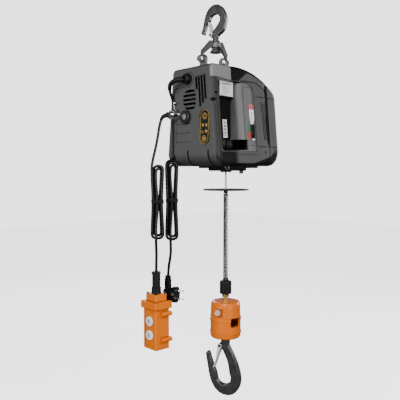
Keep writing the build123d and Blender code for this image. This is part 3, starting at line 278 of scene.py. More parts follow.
    # the corner strip is painted darker: partly its own darker grey, partly painted shade on that side
    strip = m.math("MULTIPLY", m.maprange(X, -0.0635, -0.0615, 1.0, 0.0), m.maprange(Z, -0.1446, -0.1442, 1.0, 0.0), clamp=True)
    col = m.mix(m.math("MULTIPLY", strip, 0.72), col, (0.016, 0.016, 0.0162))
    # joint under the top corner block, and the upright joint beside it
    jt = chain("MULTIPLY", m.maprange(m.math("ABSOLUTE", m.math("SUBTRACT", Z, -0.1450)), 0.0013, 0.0019, 1.0, 0.0), m.maprange(X, -0.036, -0.034, 1.0, 0.0))
    up_ = chain("MULTIPLY", m.maprange(m.math("ABSOLUTE", m.math("SUBTRACT", X, -0.0742)), 0.0003, 0.0006, 1.0, 0.0), m.maprange(Z, -0.2075, -0.2070, 1.0, 0.0), m.maprange(Z, -0.3060, -0.3055, 0.0, 1.0))
    jt = m.math("MAXIMUM", jt, up_)
    # painted shade and dark reflection: the top left corner's rounding above the joint is painted near-black along with
    # the joints
    jt = m.math("MAXIMUM", jt, m.math("MULTIPLY", m.maprange(X, -0.0768, -0.0760, 1.0, 0.0), m.maprange(Z, -0.1446, -0.1440, 0.0, 1.0)))
    col = m.mix(m.math("MULTIPLY", jt, 0.9), col, (0.003, 0.003, 0.003))
    # fine dark joints across the right panel
    for zj in (-0.1815, -0.2985):
        j = m.math("MULTIPLY", m.maprange(m.math("ABSOLUTE", m.math("SUBTRACT", Z, zj)), 0.0005, 0.0009, 0.85, 0.0), m.maprange(X, 0.056, 0.058, 0.0, 1.0))
        col = m.mix(m.math("MULTIPLY", j, fronty), col, (0.004, 0.004, 0.004))
    nrm = m.bump(fine, 0.22, 0.00012)
    nrm = m.bump(m.noise(30, 2, 0.5), 0.05, 0.0012, nrm)
    nrm = m.bump(m.math("SUBTRACT", 1.0, hood), 0.8, 0.0008, nrm)
    return m.set(color=col, rough=rr, normal=nrm, metal=0.0, spec=0.10).m


M = {}
M["case"] = casing_mat("case_dark_grey", (0.060, 0.060, 0.0608), (0.076, 0.076, 0.0768), 0.34)
def vent_mat():
    m = Mat("vent_cover_grey")
    sep = m.node("ShaderNodeSeparateXYZ")
    m.link(m.pos(), sep.inputs[0])
    X, Y, Z = sep.outputs
    fine = m.noise(1000, 2, 0.6)
    col = m.ramp(m.noise(5.0, 4, 0.5), [(0.3, (0.060, 0.060, 0.061)), (0.7, (0.073, 0.073, 0.074))])
    col = m.mix(m.math("MULTIPLY", m.maprange(fine, 0.35, 0.75, 0.0, 1.0), 0.16), col, (0.105, 0.105, 0.107))
    # painted shade: the top edge is painted darker where it rolls away, and so is the foot
    col = m.mix(m.maprange(Z, -0.1235, -0.1180, 0.0, 0.8), col, (0.010, 0.010, 0.0103))
    col = m.mix(m.maprange(Z, -0.318, -0.338, 0.0, 0.55), col, (0.014, 0.014, 0.0143))
    flat_ = m.maprange(X, -0.0785, -0.0780, 1.0, 0.0)

    def box2(y0, y1, z0, z1, e=0.0003):
        a = m.math("MULTIPLY", m.maprange(Y, y0 - e, y0 + e, 0.0, 1.0), m.maprange(Y, y1 - e, y1 + e, 1.0, 0.0))
        b = m.math("MULTIPLY", m.maprange(Z, z0 - e, z0 + e, 0.0, 1.0), m.maprange(Z, z1 - e, z1 + e, 1.0, 0.0))
        return m.math("MULTIPLY", a, b)

    lines = None
    for q in ((0.001, 0.052, -0.2480, -0.2470), (0.001, 0.052, -0.2685, -0.2675), (0.001, 0.052, -0.2895, -0.2885), (0.0515, 0.0525, -0.289, -0.247), (0.038, 0.052, -0.1985, -0.1975), (0.038, 0.052, -0.2145, -0.2135), (0.018, 0.052, -0.1645, -0.1635)):
        x = box2(*q)
        lines = x if lines is None else m.math("MAXIMUM", lines, x)
    col = m.mix(m.math("MULTIPLY", m.math("MULTIPLY", lines, flat_), 0.7), col, (0.008, 0.008, 0.008))
    ribs = m.math("MAXIMUM", box2(-0.0602, -0.0552, -0.40, -0.3085), box2(0.0080, 0.0132, -0.40, -0.3085))
    # the mouths of the upright slots, bevelled, painted near-black as painted shade
    for s0, z0, s1, z1 in ((18.0, -145, 20.2, -170), (26.6, -144, 32.2, -209), (35.6, -143.5, 41.0, -202), (44.8, -143, 49.6, -193.5)):
        k = (s1 - s0) / (z1 - z0)
        yc = m.math("SUBTRACT", m.math("MULTIPLY", Z, -k), (s0 - z0 * k) * MM)
        off = m.math("ABSOLUTE", m.math("SUBTRACT", Y, yc))
        one = m.math("MULTIPLY", m.maprange(off, 0.0033, 0.0037, 1.0, 0.0), m.math("MULTIPLY", m.maprange(Z, (z0 + 2.8) * MM, (z0 + 2.2) * MM, 0.0, 1.0), m.maprange(Z, (z1 - 2.8) * MM, (z1 - 2.2) * MM, 0.0, 1.0)))
        ribs = m.math("MAXIMUM", ribs, one)
    # painted shade: slot mouths and the two low upright strips painted near-black
    col = m.mix(m.math("MULTIPLY", ribs, 0.92), col, (0.003, 0.003, 0.003))
    # painted shade in grooves and inside corners
    col = crevice_shade(m, col)
    rr = m.maprange(m.noise(16, 5, 0.6), 0.3, 0.7, 0.33, 0.46)
    nrm = m.bump(fine, 0.28, 0.00012)
    nrm = m.bump(m.noise(30, 2, 0.5), 0.05, 0.0012, nrm)
    nrm = m.bump(m.math("SUBTRACT", 1.0, m.math("MAXIMUM", ribs, m.math("MULTIPLY", lines, flat_))), 0.6, 0.0006, nrm)
    return m.set(color=col, rough=rr, normal=nrm, metal=0.0, spec=0.2).m


M["vent"] = vent_mat()
M["cap"] = moulded("cap_light_grey", (0.135, 0.135, 0.137), (0.165, 0.165, 0.167), 0.45, 1000, 0.28)
M["housing"] = moulded("housing_grey", (0.100, 0.100, 0.1012), (0.120, 0.120, 0.1212), 0.36, 1100, 0.22, dark=(0.006, 0.006, 0.006))
# near-black used as painted shade for the screw well
M["void"] = rubber("screw_well_shade_black", (0.0012, 0.0012, 0.0012), (0.0022, 0.0022, 0.0022), 0.92)
M["black"] = moulded("black_plastic", (0.0035, 0.0035, 0.0037), (0.0065, 0.0065, 0.0067), 0.24, 1100, 0.2, spec=0.16)
M["orange_pl"] = moulded("orange_plastic", (0.64, 0.132, 0.0), (0.71, 0.156, 0.0), 0.36, 1300, 0.18, 9.0, spec=0.2, dark=(0.09, 0.018, 0.0))
M["white_pl"] = moulded("white_plastic", (0.78, 0.78, 0.765), (0.86, 0.86, 0.85), 0.28, 1500, 0.1, 30.0, coat=0.3)
M["rubber"] = rubber("black_rubber", (0.0045, 0.0045, 0.0045), (0.009, 0.009, 0.0088), 0.42)
M["cord"] = rubber("cord_sheath", (0.0035, 0.0035, 0.0035), (0.007, 0.007, 0.0068), 0.3, 1800, 0.15)
M["forged"] = metal("forged_steel_dark", (0.026, 0.026, 0.0265), (0.050, 0.050, 0.051), 0.34, 45, 0.35, 0.45)
M["blacksteel"] = metal("black_oxide", (0.010, 0.010, 0.0105), (0.020, 0.020, 0.0205), 0.34, 80, 0.2, 0.6)
M["zinc"] = metal("zinc_plate", (0.66, 0.67, 0.69), (0.80, 0.80, 0.80), 0.24, 90, 0.1)
M["latch"] = metal("latch_plate", (0.60, 0.605, 0.61), (0.74, 0.74, 0.745), 0.42, 120, 0.12, 0.35)
M["bail"] = metal("bail_strap", (0.085, 0.086, 0.088), (0.13, 0.131, 0.133), 0.38, 60, 0.25, 0.4)
M["bolt"] = metal("bolt_plating", (0.70, 0.50, 0.38), (0.80, 0.62, 0.50), 0.36, 90, 0.12, 0.5)
M["chrome"] = metal("chrome", (0.78, 0.78, 0.79), (0.86, 0.86, 0.86), 0.12, 60, 0.03)


def rope_mat():
    """Bright wire; the part that stays inside the casing is painted near-black, for grease and as painted shade."""
    m = Mat("rope_wire")
    sep = m.node("ShaderNodeSeparateXYZ")
    m.link(m.pos(), sep.inputs[0])
    a = m.noise(400, 5, 0.6)
    f = m.noise(700, 3, 0.6)
    col = m.ramp(a, [(0.3, (0.28, 0.28, 0.285)), (0.7, (0.46, 0.46, 0.465))])
    # painted shade and grease over the rope inside the casing
    col = m.mix(m.maprange(sep.outputs[2], -0.350, -0.338, 0.0, 1.0), col, (0.005, 0.005, 0.005))
    rr = m.maprange(m.noise(240, 5, 0.65), 0.3, 0.7, 0.25, 0.42)
    nrm = m.bump(f, 0.2, 0.0001)
    return m.set(color=col, rough=rr, metal=0.95, normal=m.bump(a, 0.1, 0.0005, nrm)).m


M["rope"] = rope_mat()
M["spring"] = metal("spring_wire", (0.06, 0.06, 0.062), (0.12, 0.12, 0.123), 0.36, 300, 0.2, 0.9)
M["capdark"] = moulded("cover_cap_black", (0.010, 0.010, 0.0102), (0.017, 0.017, 0.0172), 0.3, 1100, 0.2)
M["darkrope"] = metal("greased_rope", (0.012, 0.012, 0.012), (0.03, 0.03, 0.029), 0.35, 400, 0.3, 0.6)
M["brass"] = metal("yellow_passivated", (0.48, 0.31, 0.09), (0.62, 0.43, 0.15), 0.3, 150, 0.12)
M["copper"] = metal("winding", (0.05, 0.02, 0.01), (0.09, 0.035, 0.015), 0.3, 300, 0.3, stretch=(1, 1, 1))
M["silicon"] = metal("laminations", (0.03, 0.03, 0.031), (0.06, 0.06, 0.061), 0.4, 300, 0.4, stretch=(14, 0.4, 0.4))
M["alu"] = metal("aluminium_can", (0.6, 0.6, 0.61), (0.7, 0.7, 0.71), 0.34, 200, 0.1)


def ao_of(m, reach=0.006):
    ao = m.node("ShaderNodeAmbientOcclusion", samples=6)
    ao.inputs["Distance"].default_value = reach
    return ao.outputs["AO"]


def orange_paint():
    m = Mat("orange_powder_coat")
    cl = m.noise(11, 4, 0.55)
    peel = m.noise(420, 2, 0.5)
    col = m.ramp(cl, [(0.3, (0.63, 0.126, 0.0)), (0.7, (0.71, 0.152, 0.0))])
    sep = m.node("ShaderNodeSeparateXYZ")
    m.link(m.pos(), sep.inputs[0])
    # darker towards the lower edge
    low = m.maprange(sep.outputs[2], -0.7495, -0.7365, 0.35, 0.0)
    col = m.mix(low, col, (0.40, 0.10, 0.002))
    # small chips
    chip = m.maprange(m.noise(260, 5, 0.75), 0.70, 0.74, 0.0, 1.0)
    col = m.mix(m.math("MULTIPLY", chip, 0.6), col, (0.12, 0.06, 0.03))
    rr = m.maprange(m.noise(25, 4, 0.6), 0.3, 0.7, 0.24, 0.36)
    # painted shade in grooves and inside corners of the block
    col = m.mix(m.math("MULTIPLY", 1.0, m.maprange(ao_of(m), 0.35, 0.9, 0.8, 0.0)), col, (0.10, 0.022, 0.0))
    return m.set(color=col, rough=rr, normal=m.bump(peel, 0.12, 0.0003), coat=0.12, coat_rough=0.15).m


M["orange"] = orange_paint()


def flat(name, c, rough=0.4, grain=1200, metal_=0.0):
    m = Mat(name)
    f = m.noise(grain, 2, 0.5)
    col = m.mix(m.maprange(f, 0.3, 0.7, 0.0, 0.12), c, tuple(x * 0.72 for x in c))
    rr = m.maprange(m.noise(70, 3, 0.6), 0.3, 0.7, rough - 0.05, rough + 0.05)
    return m.set(color=col, rough=rr, metal=metal_, normal=m.bump(f, 0.05, 0.00005)).m


M["label_black"] = flat("label_black", (0.008, 0.008, 0.009), 0.22)
M["label_gold"] = flat("label_gold", (0.62, 0.40, 0.09), 0.34, 1200, 0.6)
M["label_white"] = flat("label_white", (0.82, 0.82, 0.82), 0.42)
M["print_grey"] = flat("print_grey", (0.22, 0.22, 0.23), 0.45)
M["label_red"] = flat("label_red", (0.55, 0.09, 0.09), 0.4)
M["label_green"] = flat("label_green", (0.02, 0.16, 0.045), 0.4)
M["label_red2"] = flat("label_red_dark", (0.42, 0.03, 0.025), 0.4)

use = {
    "front_shell": "case", "rear_shell": "case", "vent_end_cover": "vent", "top_cap": "cap", "inner_housing": "housing", "bottom_foot": "black", "rope_bush": "rubber",
    "chassis_frame": "blacksteel", "tie_rods": "blacksteel", "lifting_lugs": "zinc", "bail_bolts": "zinc", "motor_stator": "silicon", "motor_windings": "copper", "shaft_bearings": "zinc",
    "brake_housing": "blacksteel", "run_capacitor": "blacksteel", "limit_switch": "black", "mains_gland": "rubber", "pendant_connector": "chrome", "round_cap": "capdark",
    "nameplate": "label_black", "case_screws": "blacksteel", "pendant_front_shell": "orange_pl", "pendant_rear_shell": "orange_pl", "pendant_cap": "orange_pl", "pendant_sleeve": "rubber",
    "pendant_switch_block": "black", "mains_plug": "black", "mains_plug_pins": "chrome", "top_hook": "forged", "top_hook_nut": "blacksteel", "top_latch": "latch", "bail": "bail",
    "rotor": "silicon", "motor_fan": "black", "layshaft_a": "zinc", "layshaft_b": "zinc", "rope_drum": "blacksteel", "drum_gear": "zinc", "wound_rope": "darkrope", "rope_bumper": "rubber",
    "rope_ferrule": "brass", "block_half_front": "orange", "block_half_rear": "orange", "block_bolts": "bolt", "hook_thrust_bearing": "zinc", "limit_disc": "rubber", "limit_plunger": "blacksteel",
    "load_hook": "forged", "load_hook_nut": "blacksteel", "load_latch": "latch", "button_up": "white_pl", "button_down": "white_pl",
}
for n, k in use.items():
    o = N[n]
    if not o.material_slots:
        o.data.materials.append(M[k])
    for s in o.material_slots:
        s.material = M[k]


# ------------------------------------------------------------------ mesh helpers
def obj_from(name, verts, faces, mat, smooth=True):
    me = bpy.data.meshes.new(name)
    me.from_pydata([tuple(v) for v in verts], [], faces)
    me.update()
    o = bpy.data.objects.new(name, me)
    bpy.context.scene.collection.objects.link(o)
    me.materials.append(mat)
    for p in me.polygons:
        p.use_smooth = smooth
    return o


def recalc(o):
    bm = bmesh.new()
    bm.from_mesh(o.data)
    bmesh.ops.remove_doubles(bm, verts=bm.verts, dist=1e-7)
    bmesh.ops.recalc_face_normals(bm, faces=bm.faces)
    bm.to_mesh(o.data)
    bm.free()
    return o


def extruded(name, loop, origin, ex, ey, depth, mat, hole=None, bevel=0.0):
    """A flat plate from a 2D outline (metres), lying at origin along ex, ey, and depth thick along ex x ey."""
    ex, ey = Vector(ex).normalized(), Vector(ey).normalized()
    ez = ex.cross(ey)
    origin = Vector(origin)
    n = len(loop)
    P = [origin + ex * a + ey * b for a, b in loop]
    verts = [p for p in P] + [p + ez * depth for p in P]
    if hole is None:
        faces = [list(range(n))[::-1], list(range(n, 2 * n))]
        faces += [[i, (i + 1) % n, n + (i + 1) % n, n + i] for i in range(n)]
    else:
        H = [origin + ex * a + ey * b for a, b in hole]
        verts += [p for p in H] + [p + ez * depth for p in H]
        faces = []
        for i in range(n):
            j = (i + 1) % n
            faces += [[i, j, n + j, n + i], [2 * n + j, 2 * n + i, 3 * n + i, 3 * n + j], [n + i, n + j, 3 * n + j, 3 * n + i], [j, i, 2 * n + i, 2 * n + j]]
    o = recalc(obj_from(name, verts, faces, mat, False))
    if bevel:
        b = o.modifiers.new("edge", "BEVEL")
        b.width, b.segments, b.limit_method = bevel, 2, "ANGLE"
    return o


def rrect(w, h, r, k=5):
    pts = []
    for cx, cy, a0 in ((w / 2 - r, h / 2 - r, 0), (-w / 2 + r, h / 2 - r, 90), (-w / 2 + r, -h / 2 + r, 180), (w / 2 - r, -h / 2 + r, 270)):
        for i in range(k + 1):
            a = math.radians(a0 + 90 * i / k)
            pts.append((cx + r * math.cos(a), cy + r * math.sin(a)))
    return pts


def swept(name, pts, radii, mat, sides=16, closed_ends=True):
    """A tube along points with its own radius at each point."""
    pts = [Vector(p) for p in pts]
    verts, faces = [], []
    t = (pts[1] - pts[0]).normalized()
    up = Vector((0, 0, 1)) if abs(t.z) < 0.9 else Vector((1, 0, 0))
    nrm = (up - t * up.dot(t)).normalized()
    for i, p in enumerate(pts):
        t = (pts[min(i + 1, len(pts) - 1)] - pts[max(i - 1, 0)]).normalized()
        nrm = (nrm - t * nrm.dot(t)).normalized()
        b = t.cross(nrm)
        for k in range(sides):
            a = 2 * math.pi * k / sides
            verts.append(p + (nrm * math.cos(a) + b * math.sin(a)) * radii[i])
    for i in range(len(pts) - 1):
        for k in range(sides):
            a, b2 = i * sides + k, i * sides + (k + 1) % sides
            faces.append([a, b2, b2 + sides, a + sides])
    if closed_ends:
        faces.append(list(range(sides))[::-1])
        m = (len(pts) - 1) * sides
        faces.append([m + k for k in range(sides)])
    return recalc(obj_from(name, verts, faces, mat))


def spline_points(pts):
    """Points along the order-3 spline of a route, close together."""
    cu = bpy.data.curves.new("probe", "CURVE")
    cu.dimensions = "3D"
    sp = cu.splines.new("NURBS")
    sp.points.add(len(pts) - 1)
    for q, p in zip(sp.points, pts):
        q.co = (*p, 1)
    sp.order_u = 3
    sp.use_endpoint_u = True
    sp.resolution_u = 12
    o = bpy.data.objects.new("probe", cu)
    me = bpy.data.meshes.new_from_object(o)
    out = [v.co.copy() for v in me.vertices]
    bpy.data.objects.remove(o)
    bpy.data.curves.remove(cu)
    bpy.data.meshes.remove(me)
    return out


def arc_len(P):
    return sum((b - a).length for a, b in zip(P, P[1:]))


# ------------------------------------------------------------------ cords
CORD_D = 6.6
C44, S44 = math.cos(math.radians(44)), math.sin(math.radians(44))
H1 = (-135.5, 52.5, -338.0, -515.0)
H2 = (-91.0, 54.0, -330.0, -521.0)
PX, PY = -138.0, 55.0
NX, NY = -98.0, 61.0
CH_X, CH_Y = -72.0, 62.5


def hp(H, u, z, n=0.0):
    return (H[0] + C44 * u + S44 * n, H[1] - S44 * u + C44 * n, z)


def hank_turns(H, seed):
    """Two and a half long turns: three runs on the left, two on the right, closing up towards the middle."""
    zt, zb = H[2] - 3.4, H[3] + 3.4

    def run(u, n, um, nm, z0, z1, k):
        pts = []
        for s in (0.13, 0.27, 0.40, 0.50, 0.60, 0.73, 0.87):
            f = math.sin(math.pi * min(1.0, max(0.0, (s - 0.04) / 0.92))) ** 2.2
            wob = 0.35 * math.sin(9 * s + seed + k)
            pts.append(hp(H, u + (um - u) * f + wob * (1 - f), z0 + (z1 - z0) * s, n + (nm - n) * f))
        return pts

    runs = [(-13.0, -2.9, -10.6, -2.9, 0), (13.0, -2.9, 10.2, -2.9, 1), (-8.2, 3.3, -5.0, 3.3, 2), (8.4, 3.3, 5.0, 3.3, 3)]
    P = []
    for i, (u, n, um, nm, k) in enumerate(runs):
        down = i % 2 == 0
        z0, z1 = (zt, zb) if down else (zb, zt)
        off = (0.0, 0.0, 3.0, 6.5)[i]
        o1 = (0.0, 3.0, 6.5, 9.5)[i]
        P.append(hp(H, u, z0 - off if down else z0 + off, n))
        P += run(u, n, um, nm, z0, z1, k)
        P.append(hp(H, u, z1 + o1 if down else z1 - o1, n))
    # the last run comes down the middle and leaves in front of the lower bend
    z0 = zt - 9.5
    h = z0 - zb
    P.append(hp(H, -2.6, z0, -1.0))
    for t, u, n in ((0.14, -3.6, -2.9), (0.30, -1.4, -2.9), (0.45, 0.0, -2.9), (0.58, 0.0, -2.9), (0.72, -1.4, -3.4), (0.86, -3.0, -6.6), (0.97, -2.6, -9.6)):
        P.append(hp(H, u, z0 - h * t, n))
    P.append(hp(H, -2.6, zb - 10, -9.2))
    return P


PEND_UP = [(-95, 48.5, -226), (-119, 48.8, -226.4), (-129.5, 49.5, -243), (-136, 53, -292)]
PEND_LOW = [hp(H1, -2.2, -545, -4), (PX, PY, -585), (PX, PY, -640)]
MAINS_UP = [(-72, 8, -146), (-97, 11, -146.5), (-109, 36, -152), (-97, 56, -168), (-79.2, 62, -192), (-75.6, CH_Y, -235), (-75.4, CH_Y, -300), (-79.5, 60, -331)]
MAINS_LOW = [hp(H2, -2.2, -552, -4), (NX, NY, -592), (NX, NY, -633)]


def to_m(P):
    return [Vector(p) * MM for p in P]


def cord_curve(name, pts):
    cu = bpy.data.curves.new(name, "CURVE")
    cu.dimensions = "3D"
    sp = cu.splines.new("NURBS")
    sp.points.add(len(pts) - 1)
    for q, p in zip(sp.points, pts):
        q.co = (*p, 1)
    sp.order_u = 3
    sp.use_endpoint_u = True
    sp.resolution_u = 10
    cu.bevel_depth = CORD_D / 2 * MM
    cu.bevel_resolution = 6
    cu.use_fill_caps = True
    o = bpy.data.objects.new(name, cu)
    bpy.context.scene.collection.objects.link(o)
    cu.materials.append(M["cord"])
    return o


pend_route = to_m(PEND_UP + hank_turns(H1, 0.3) + PEND_LOW)
mains_route = to_m(MAINS_UP + hank_turns(H2, 2.1) + MAINS_LOW)
pend = cord_curve("pendant_cable", pend_route)
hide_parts("pendant_cord", "pendant_cord_hank")
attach(pend, "casing")
mains = cord_curve("mains_cable", mains_route)
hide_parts("mains_cord", "mains_cord_hank")
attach(mains, "casing")
pp_, mp_ = spline_points(pend_route), spline_points(mains_route)
print("cord lengths", round(arc_len(pp_), 3), round(arc_len(mp_), 3))


# ------------------------------------------------------------------ strain relief and ties
def along(P, s0, s1, step):
    """Points along P between two arc lengths, evenly spaced."""
    out, acc, want = [], 0.0, s0
    for a, b in zip(P, P[1:]):
        d = (b - a).length
        while d > 1e-9 and want <= acc + d and want <= s1:
            out.append(a.lerp(b, (want - acc) / d))
            want += step
        acc += d
    return out


def boot(name, P, s0, s1, r0, r1, ribs, body="casing", mat="rubber", rmin=0.0036):
    """A tapered, ribbed sleeve that follows the cord."""
    pts = along(P, s0, s1, 0.0009)
    n = len(pts)
    rad = []
    for i in range(n):
        t = i / (n - 1)
        base = r0 + (r1 - r0) * t
        ph = (t * ribs) % 1.0
        notch = 0.0011 if (0.62 < ph < 0.94 and 0.06 < t < 0.95) else 0.0
        rad.append(max(rmin, base - notch * (1 - 0.4 * t)))
    o = swept(name, pts, rad, M[mat], 20)
    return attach(o, body)


boot("mains_strain_relief", mp_, 0.0215, 0.074, 0.0066, 0.0046, 7)
boot("pendant_strain_relief", pp_, 0.0142, 0.036, 0.0056, 0.0042, 4)


def tie(name, H, zc, hw, hd, width, wraps):
    """A soft tie wound round the waist of a hank."""
    cu_pts = []
    steps = 40
    for w in range(wraps):
        for k in range(steps):
            a = 2 * math.pi * k / steps
            ca, sa = math.cos(a), math.sin(a)
            e = 2.6
            u = hw * abs(ca) ** (2 / e) * (1 if ca >= 0 else -1)
            n = hd * abs(sa) ** (2 / e) * (1 if sa >= 0 else -1)
            z = zc + width * ((w + k / steps) / wraps - 0.5)
            cu_pts.append(Vector(hp(H, u, z, n)) * MM)
    o = swept(name, cu_pts, [0.0011] * len(cu_pts), M["rubber"], 8)
    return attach(o, "casing")


tie("pendant_hank_tie", H1, (H1[2] + H1[3]) / 2, 14.0, 7.4, 8.5, 5)
tie("mains_hank_tie", H2, (H2[2] + H2[3]) / 2, 14.0, 7.4, 8.5, 5)

# ------------------------------------------------------------------ wire rope: six strands laid round a core
ROPE_X, ROPE_Y = 0.0, -35.0
SPR_TOP, SPR_BOT = -0.4094, -0.6130


def helix(name, cx, cy, z0, z1, rad, wire, pitch, phase, mat, per=14, sides=8):
    n = max(8, int(abs(z1 - z0) / pitch * per))
    pts = []
    for i in range(n + 1):
        t = i / n
        z = z0 + (z1 - z0) * t
        a = phase + 2 * math.pi * abs(z - z0) / pitch
        pts.append(Vector((cx + rad * math.cos(a), cy + rad * math.sin(a), z)))
    return pts, wire


def joined(name, paths, mat, sides):
    """Several tubes as one mesh."""
    verts, faces = [], []
    for pts, w in paths:
        base = len(verts)
        t = (pts[1] - pts[0]).normalized()
        up = Vector((0, 0, 1)) if abs(t.z) < 0.9 else Vector((1, 0, 0))
        nrm = (up - t * up.dot(t)).normalized()
        for i, p in enumerate(pts):
            t = (pts[min(i + 1, len(pts) - 1)] - pts[max(i - 1, 0)]).normalized()
            nrm = (nrm - t * nrm.dot(t)).normalized()
            b = t.cross(nrm)
            for k in range(sides):
                a = 2 * math.pi * k / sides
                verts.append(p + (nrm * math.cos(a) + b * math.sin(a)) * w)
        for i in range(len(pts) - 1):
            for k in range(sides):
                a, b2 = base + i * sides + k, base + i * sides + (k + 1) % sides
                faces.append([a, b2, b2 + sides, a + sides])
        faces.append([base + k for k in range(sides)][::-1])
        m = base + (len(pts) - 1) * sides
        faces.append([m + k for k in range(sides)])
    return recalc(obj_from(name, verts, faces, mat))


strands = [helix("s", ROPE_X, ROPE_Y * MM, -0.190, -0.656, 0.0015, 0.00085, 0.032, i * math.pi / 3, None, 16) for i in range(6)]
core = [([Vector((0, ROPE_Y * MM, -0.190 - 0.466 * i / 20)) for i in range(21)], 0.0011)]
rope = joined("wire_rope", strands + core, M["rope"], 8)
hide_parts("rope_fall")
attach(rope, "block")


# ------------------------------------------------------------------ limit spring: a coil with closed end turns
def coil_path():
    turns, top, bot, wire = 62, SPR_TOP - 0.0013, SPR_BOT + 0.0013, 0.0013
    h = top - bot
    pts = []
    per = 22
    n = turns * per
    for i in range(n + 1):
        a = 2 * math.pi * i / per
        t = i / per
        if t < 1.5:
            z = top - 0.0026 * t * 0.5
        elif t > turns - 1.5:
            z = bot + 0.0026 * (turns - t) * 0.5
        else:
            z0, z1 = top - 0.0026 * 0.75, bot + 0.0026 * 0.75
            z = z0 + (z1 - z0) * (t - 1.5) / (turns - 3)
        pts.append(Vector((0.0053 * math.cos(a), ROPE_Y * MM + 0.0053 * math.sin(a), z)))
    return pts


spring = joined("coil_spring", [(coil_path(), 0.0011)], M["spring"], 9)
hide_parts("limit_spring")
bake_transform(spring)


# ------------------------------------------------------------------ surfaces the fittings stick to
LEAN = math.radians(5.4)


def front_pt(x, z, off=0.0):
    """A point on the leaning front face (mm), off in front of it."""
    return Vector((x, -(68.3 + (-117 - z) * math.tan(LEAN)) - off, z))


FX, FY = Vector((1, 0, 0)), Vector((0, math.sin(LEAN), math.cos(LEAN)))


def on_front(name, loop, x, z, off, depth, mat, hole=None, bevel=0.0):
    o = extruded(name, [(a * MM, b * MM) for a, b in loop], front_pt(x, z, off) * MM, FX, FY, depth * MM, M[mat], None if hole is None else [(a * MM, b * MM) for a, b in hole], bevel * MM)
    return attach(o, "casing")


def on_back_wall(name, loop, x, z, off, depth, mat):
    """On the wall at the back of the hand-hold, which faces forward (mm)."""
    o = extruded(name, [(a * MM, b * MM) for a, b in loop], Vector((x, -46 - off, z)) * MM, (1, 0, 0), (0, 0, 1), depth * MM, M[mat])
    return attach(o, "casing")


# rating labels: plain grey bars stand for the text. The upper one is on a raised pad at the top of the hand-hold
pad = extruded("label_pad", [(a * MM, b * MM) for a, b in rrect(46, 37, 3)], Vector((-20.5, -56.6, -170.0)) * MM, (1, 0, 0), (0, 0, 1), -10.4 * MM, M["black"], None, 0.0006)
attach(pad, "casing")


def on_pad(name, loop, x, z, off, depth, mat, wall=-56.7):
    o = extruded(name, [(a * MM, b * MM) for a, b in loop], Vector((x, wall - off, z)) * MM, (1, 0, 0), (0, 0, 1), depth * MM, M[mat])
    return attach(o, "casing")


on_pad("rating_label", [(-21.5, 16.4), (-21.0, -16.2), (21.5, -17.6), (21.5, 15.2)][::-1], -21.0, -168.3, 0.05, 0.22, "label_white")
rows = [(10.4, 27, 2.6), (4.6, 12, 1.2), (1.2, 22, 1.2), (-2.4, 16, 1.2), (-6.0, 25, 1.2), (-9.6, 20, 1.2), (-13.0, 13, 1.2)]
for i, (dz, w, h) in enumerate(rows):
    on_pad("rating_bar_%d" % i, rrect(w, h, 0.3, 2), -20.5 - (27 - w) / 2, -168.3 + dz, 0.3, 0.08, "print_grey")
on_pad("side_label", [(-5.2, -21), (8.2, -21), (4.8, 21), (-9.0, 21)], -14.0, -258.5, 0.05, 0.22, "label_white", -46.1)
for i, (dz, w, h) in enumerate([(14, 6, 5), (6, 7, 4.5), (-2, 6, 5), (-10, 7, 4), (-16, 5, 3)]):
    on_pad("side_mark_%d" % i, rrect(w, h, 0.8, 2), -14.2 - dz * 0.09, -258.5 + dz, 0.3, 0.08, "print_grey", -46.1)

# painted shade: a matt black oval sheet laid just over the front corner's rounding stands in for the shade inside the
# screw well
def on_skin(o, origin, way):
    inv = o.matrix_world.inverted()
    ok, at, nr, _ = o.ray_cast(inv @ origin, (inv.to_3x3() @ way).normalized())
    return (o.matrix_world @ at) if ok else None


bpy.context.view_layer.update()
way = Vector((0.72, 0.69, 0.0)).normalized()
across = Vector((way.y, -way.x, 0.0))
mid = Vector((-77.2, front_pt(0, -198).y + 3.2, -198.2)) * MM
vv, ff_ = [], []
for ring in range(5):
    for k in range(28):
        t = 2 * math.pi * k / 28
        q = (0.0, 0.4, 0.75, 0.93, 1.0)[ring]
        at = mid + across * 7.2 * MM * math.cos(t) * q + Vector((0, 0, 4.4 * MM * math.sin(t) * q)) - way * 30 * MM
        hits = [h for h in (on_skin(N[n], at, way) for n in ("front_shell", "vent_end_cover")) if h]
        base = min(hits, key=lambda h: (h - at).length) if hits else at + way * 30 * MM
        vv.append(base - way * (0.35, 0.35, 0.35, 0.32, -0.3)[ring] * MM)
for ring in range(4):
    for k in range(28):
        a, b = ring * 28 + k, ring * 28 + (k + 1) % 28
        ff_.append([a, b, b + 28, a + 28])
wl = obj_from("corner_screw_well", vv, ff_, M["void"])
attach(recalc(wl), "casing")
knob = swept("cover_cap_centre", [Vector((-86.9, 14.5, -232)) * MM, Vector((-87.6, 14.5, -232)) * MM], [0.0072, 0.0066], M["cap"], 24)
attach(knob, "casing")

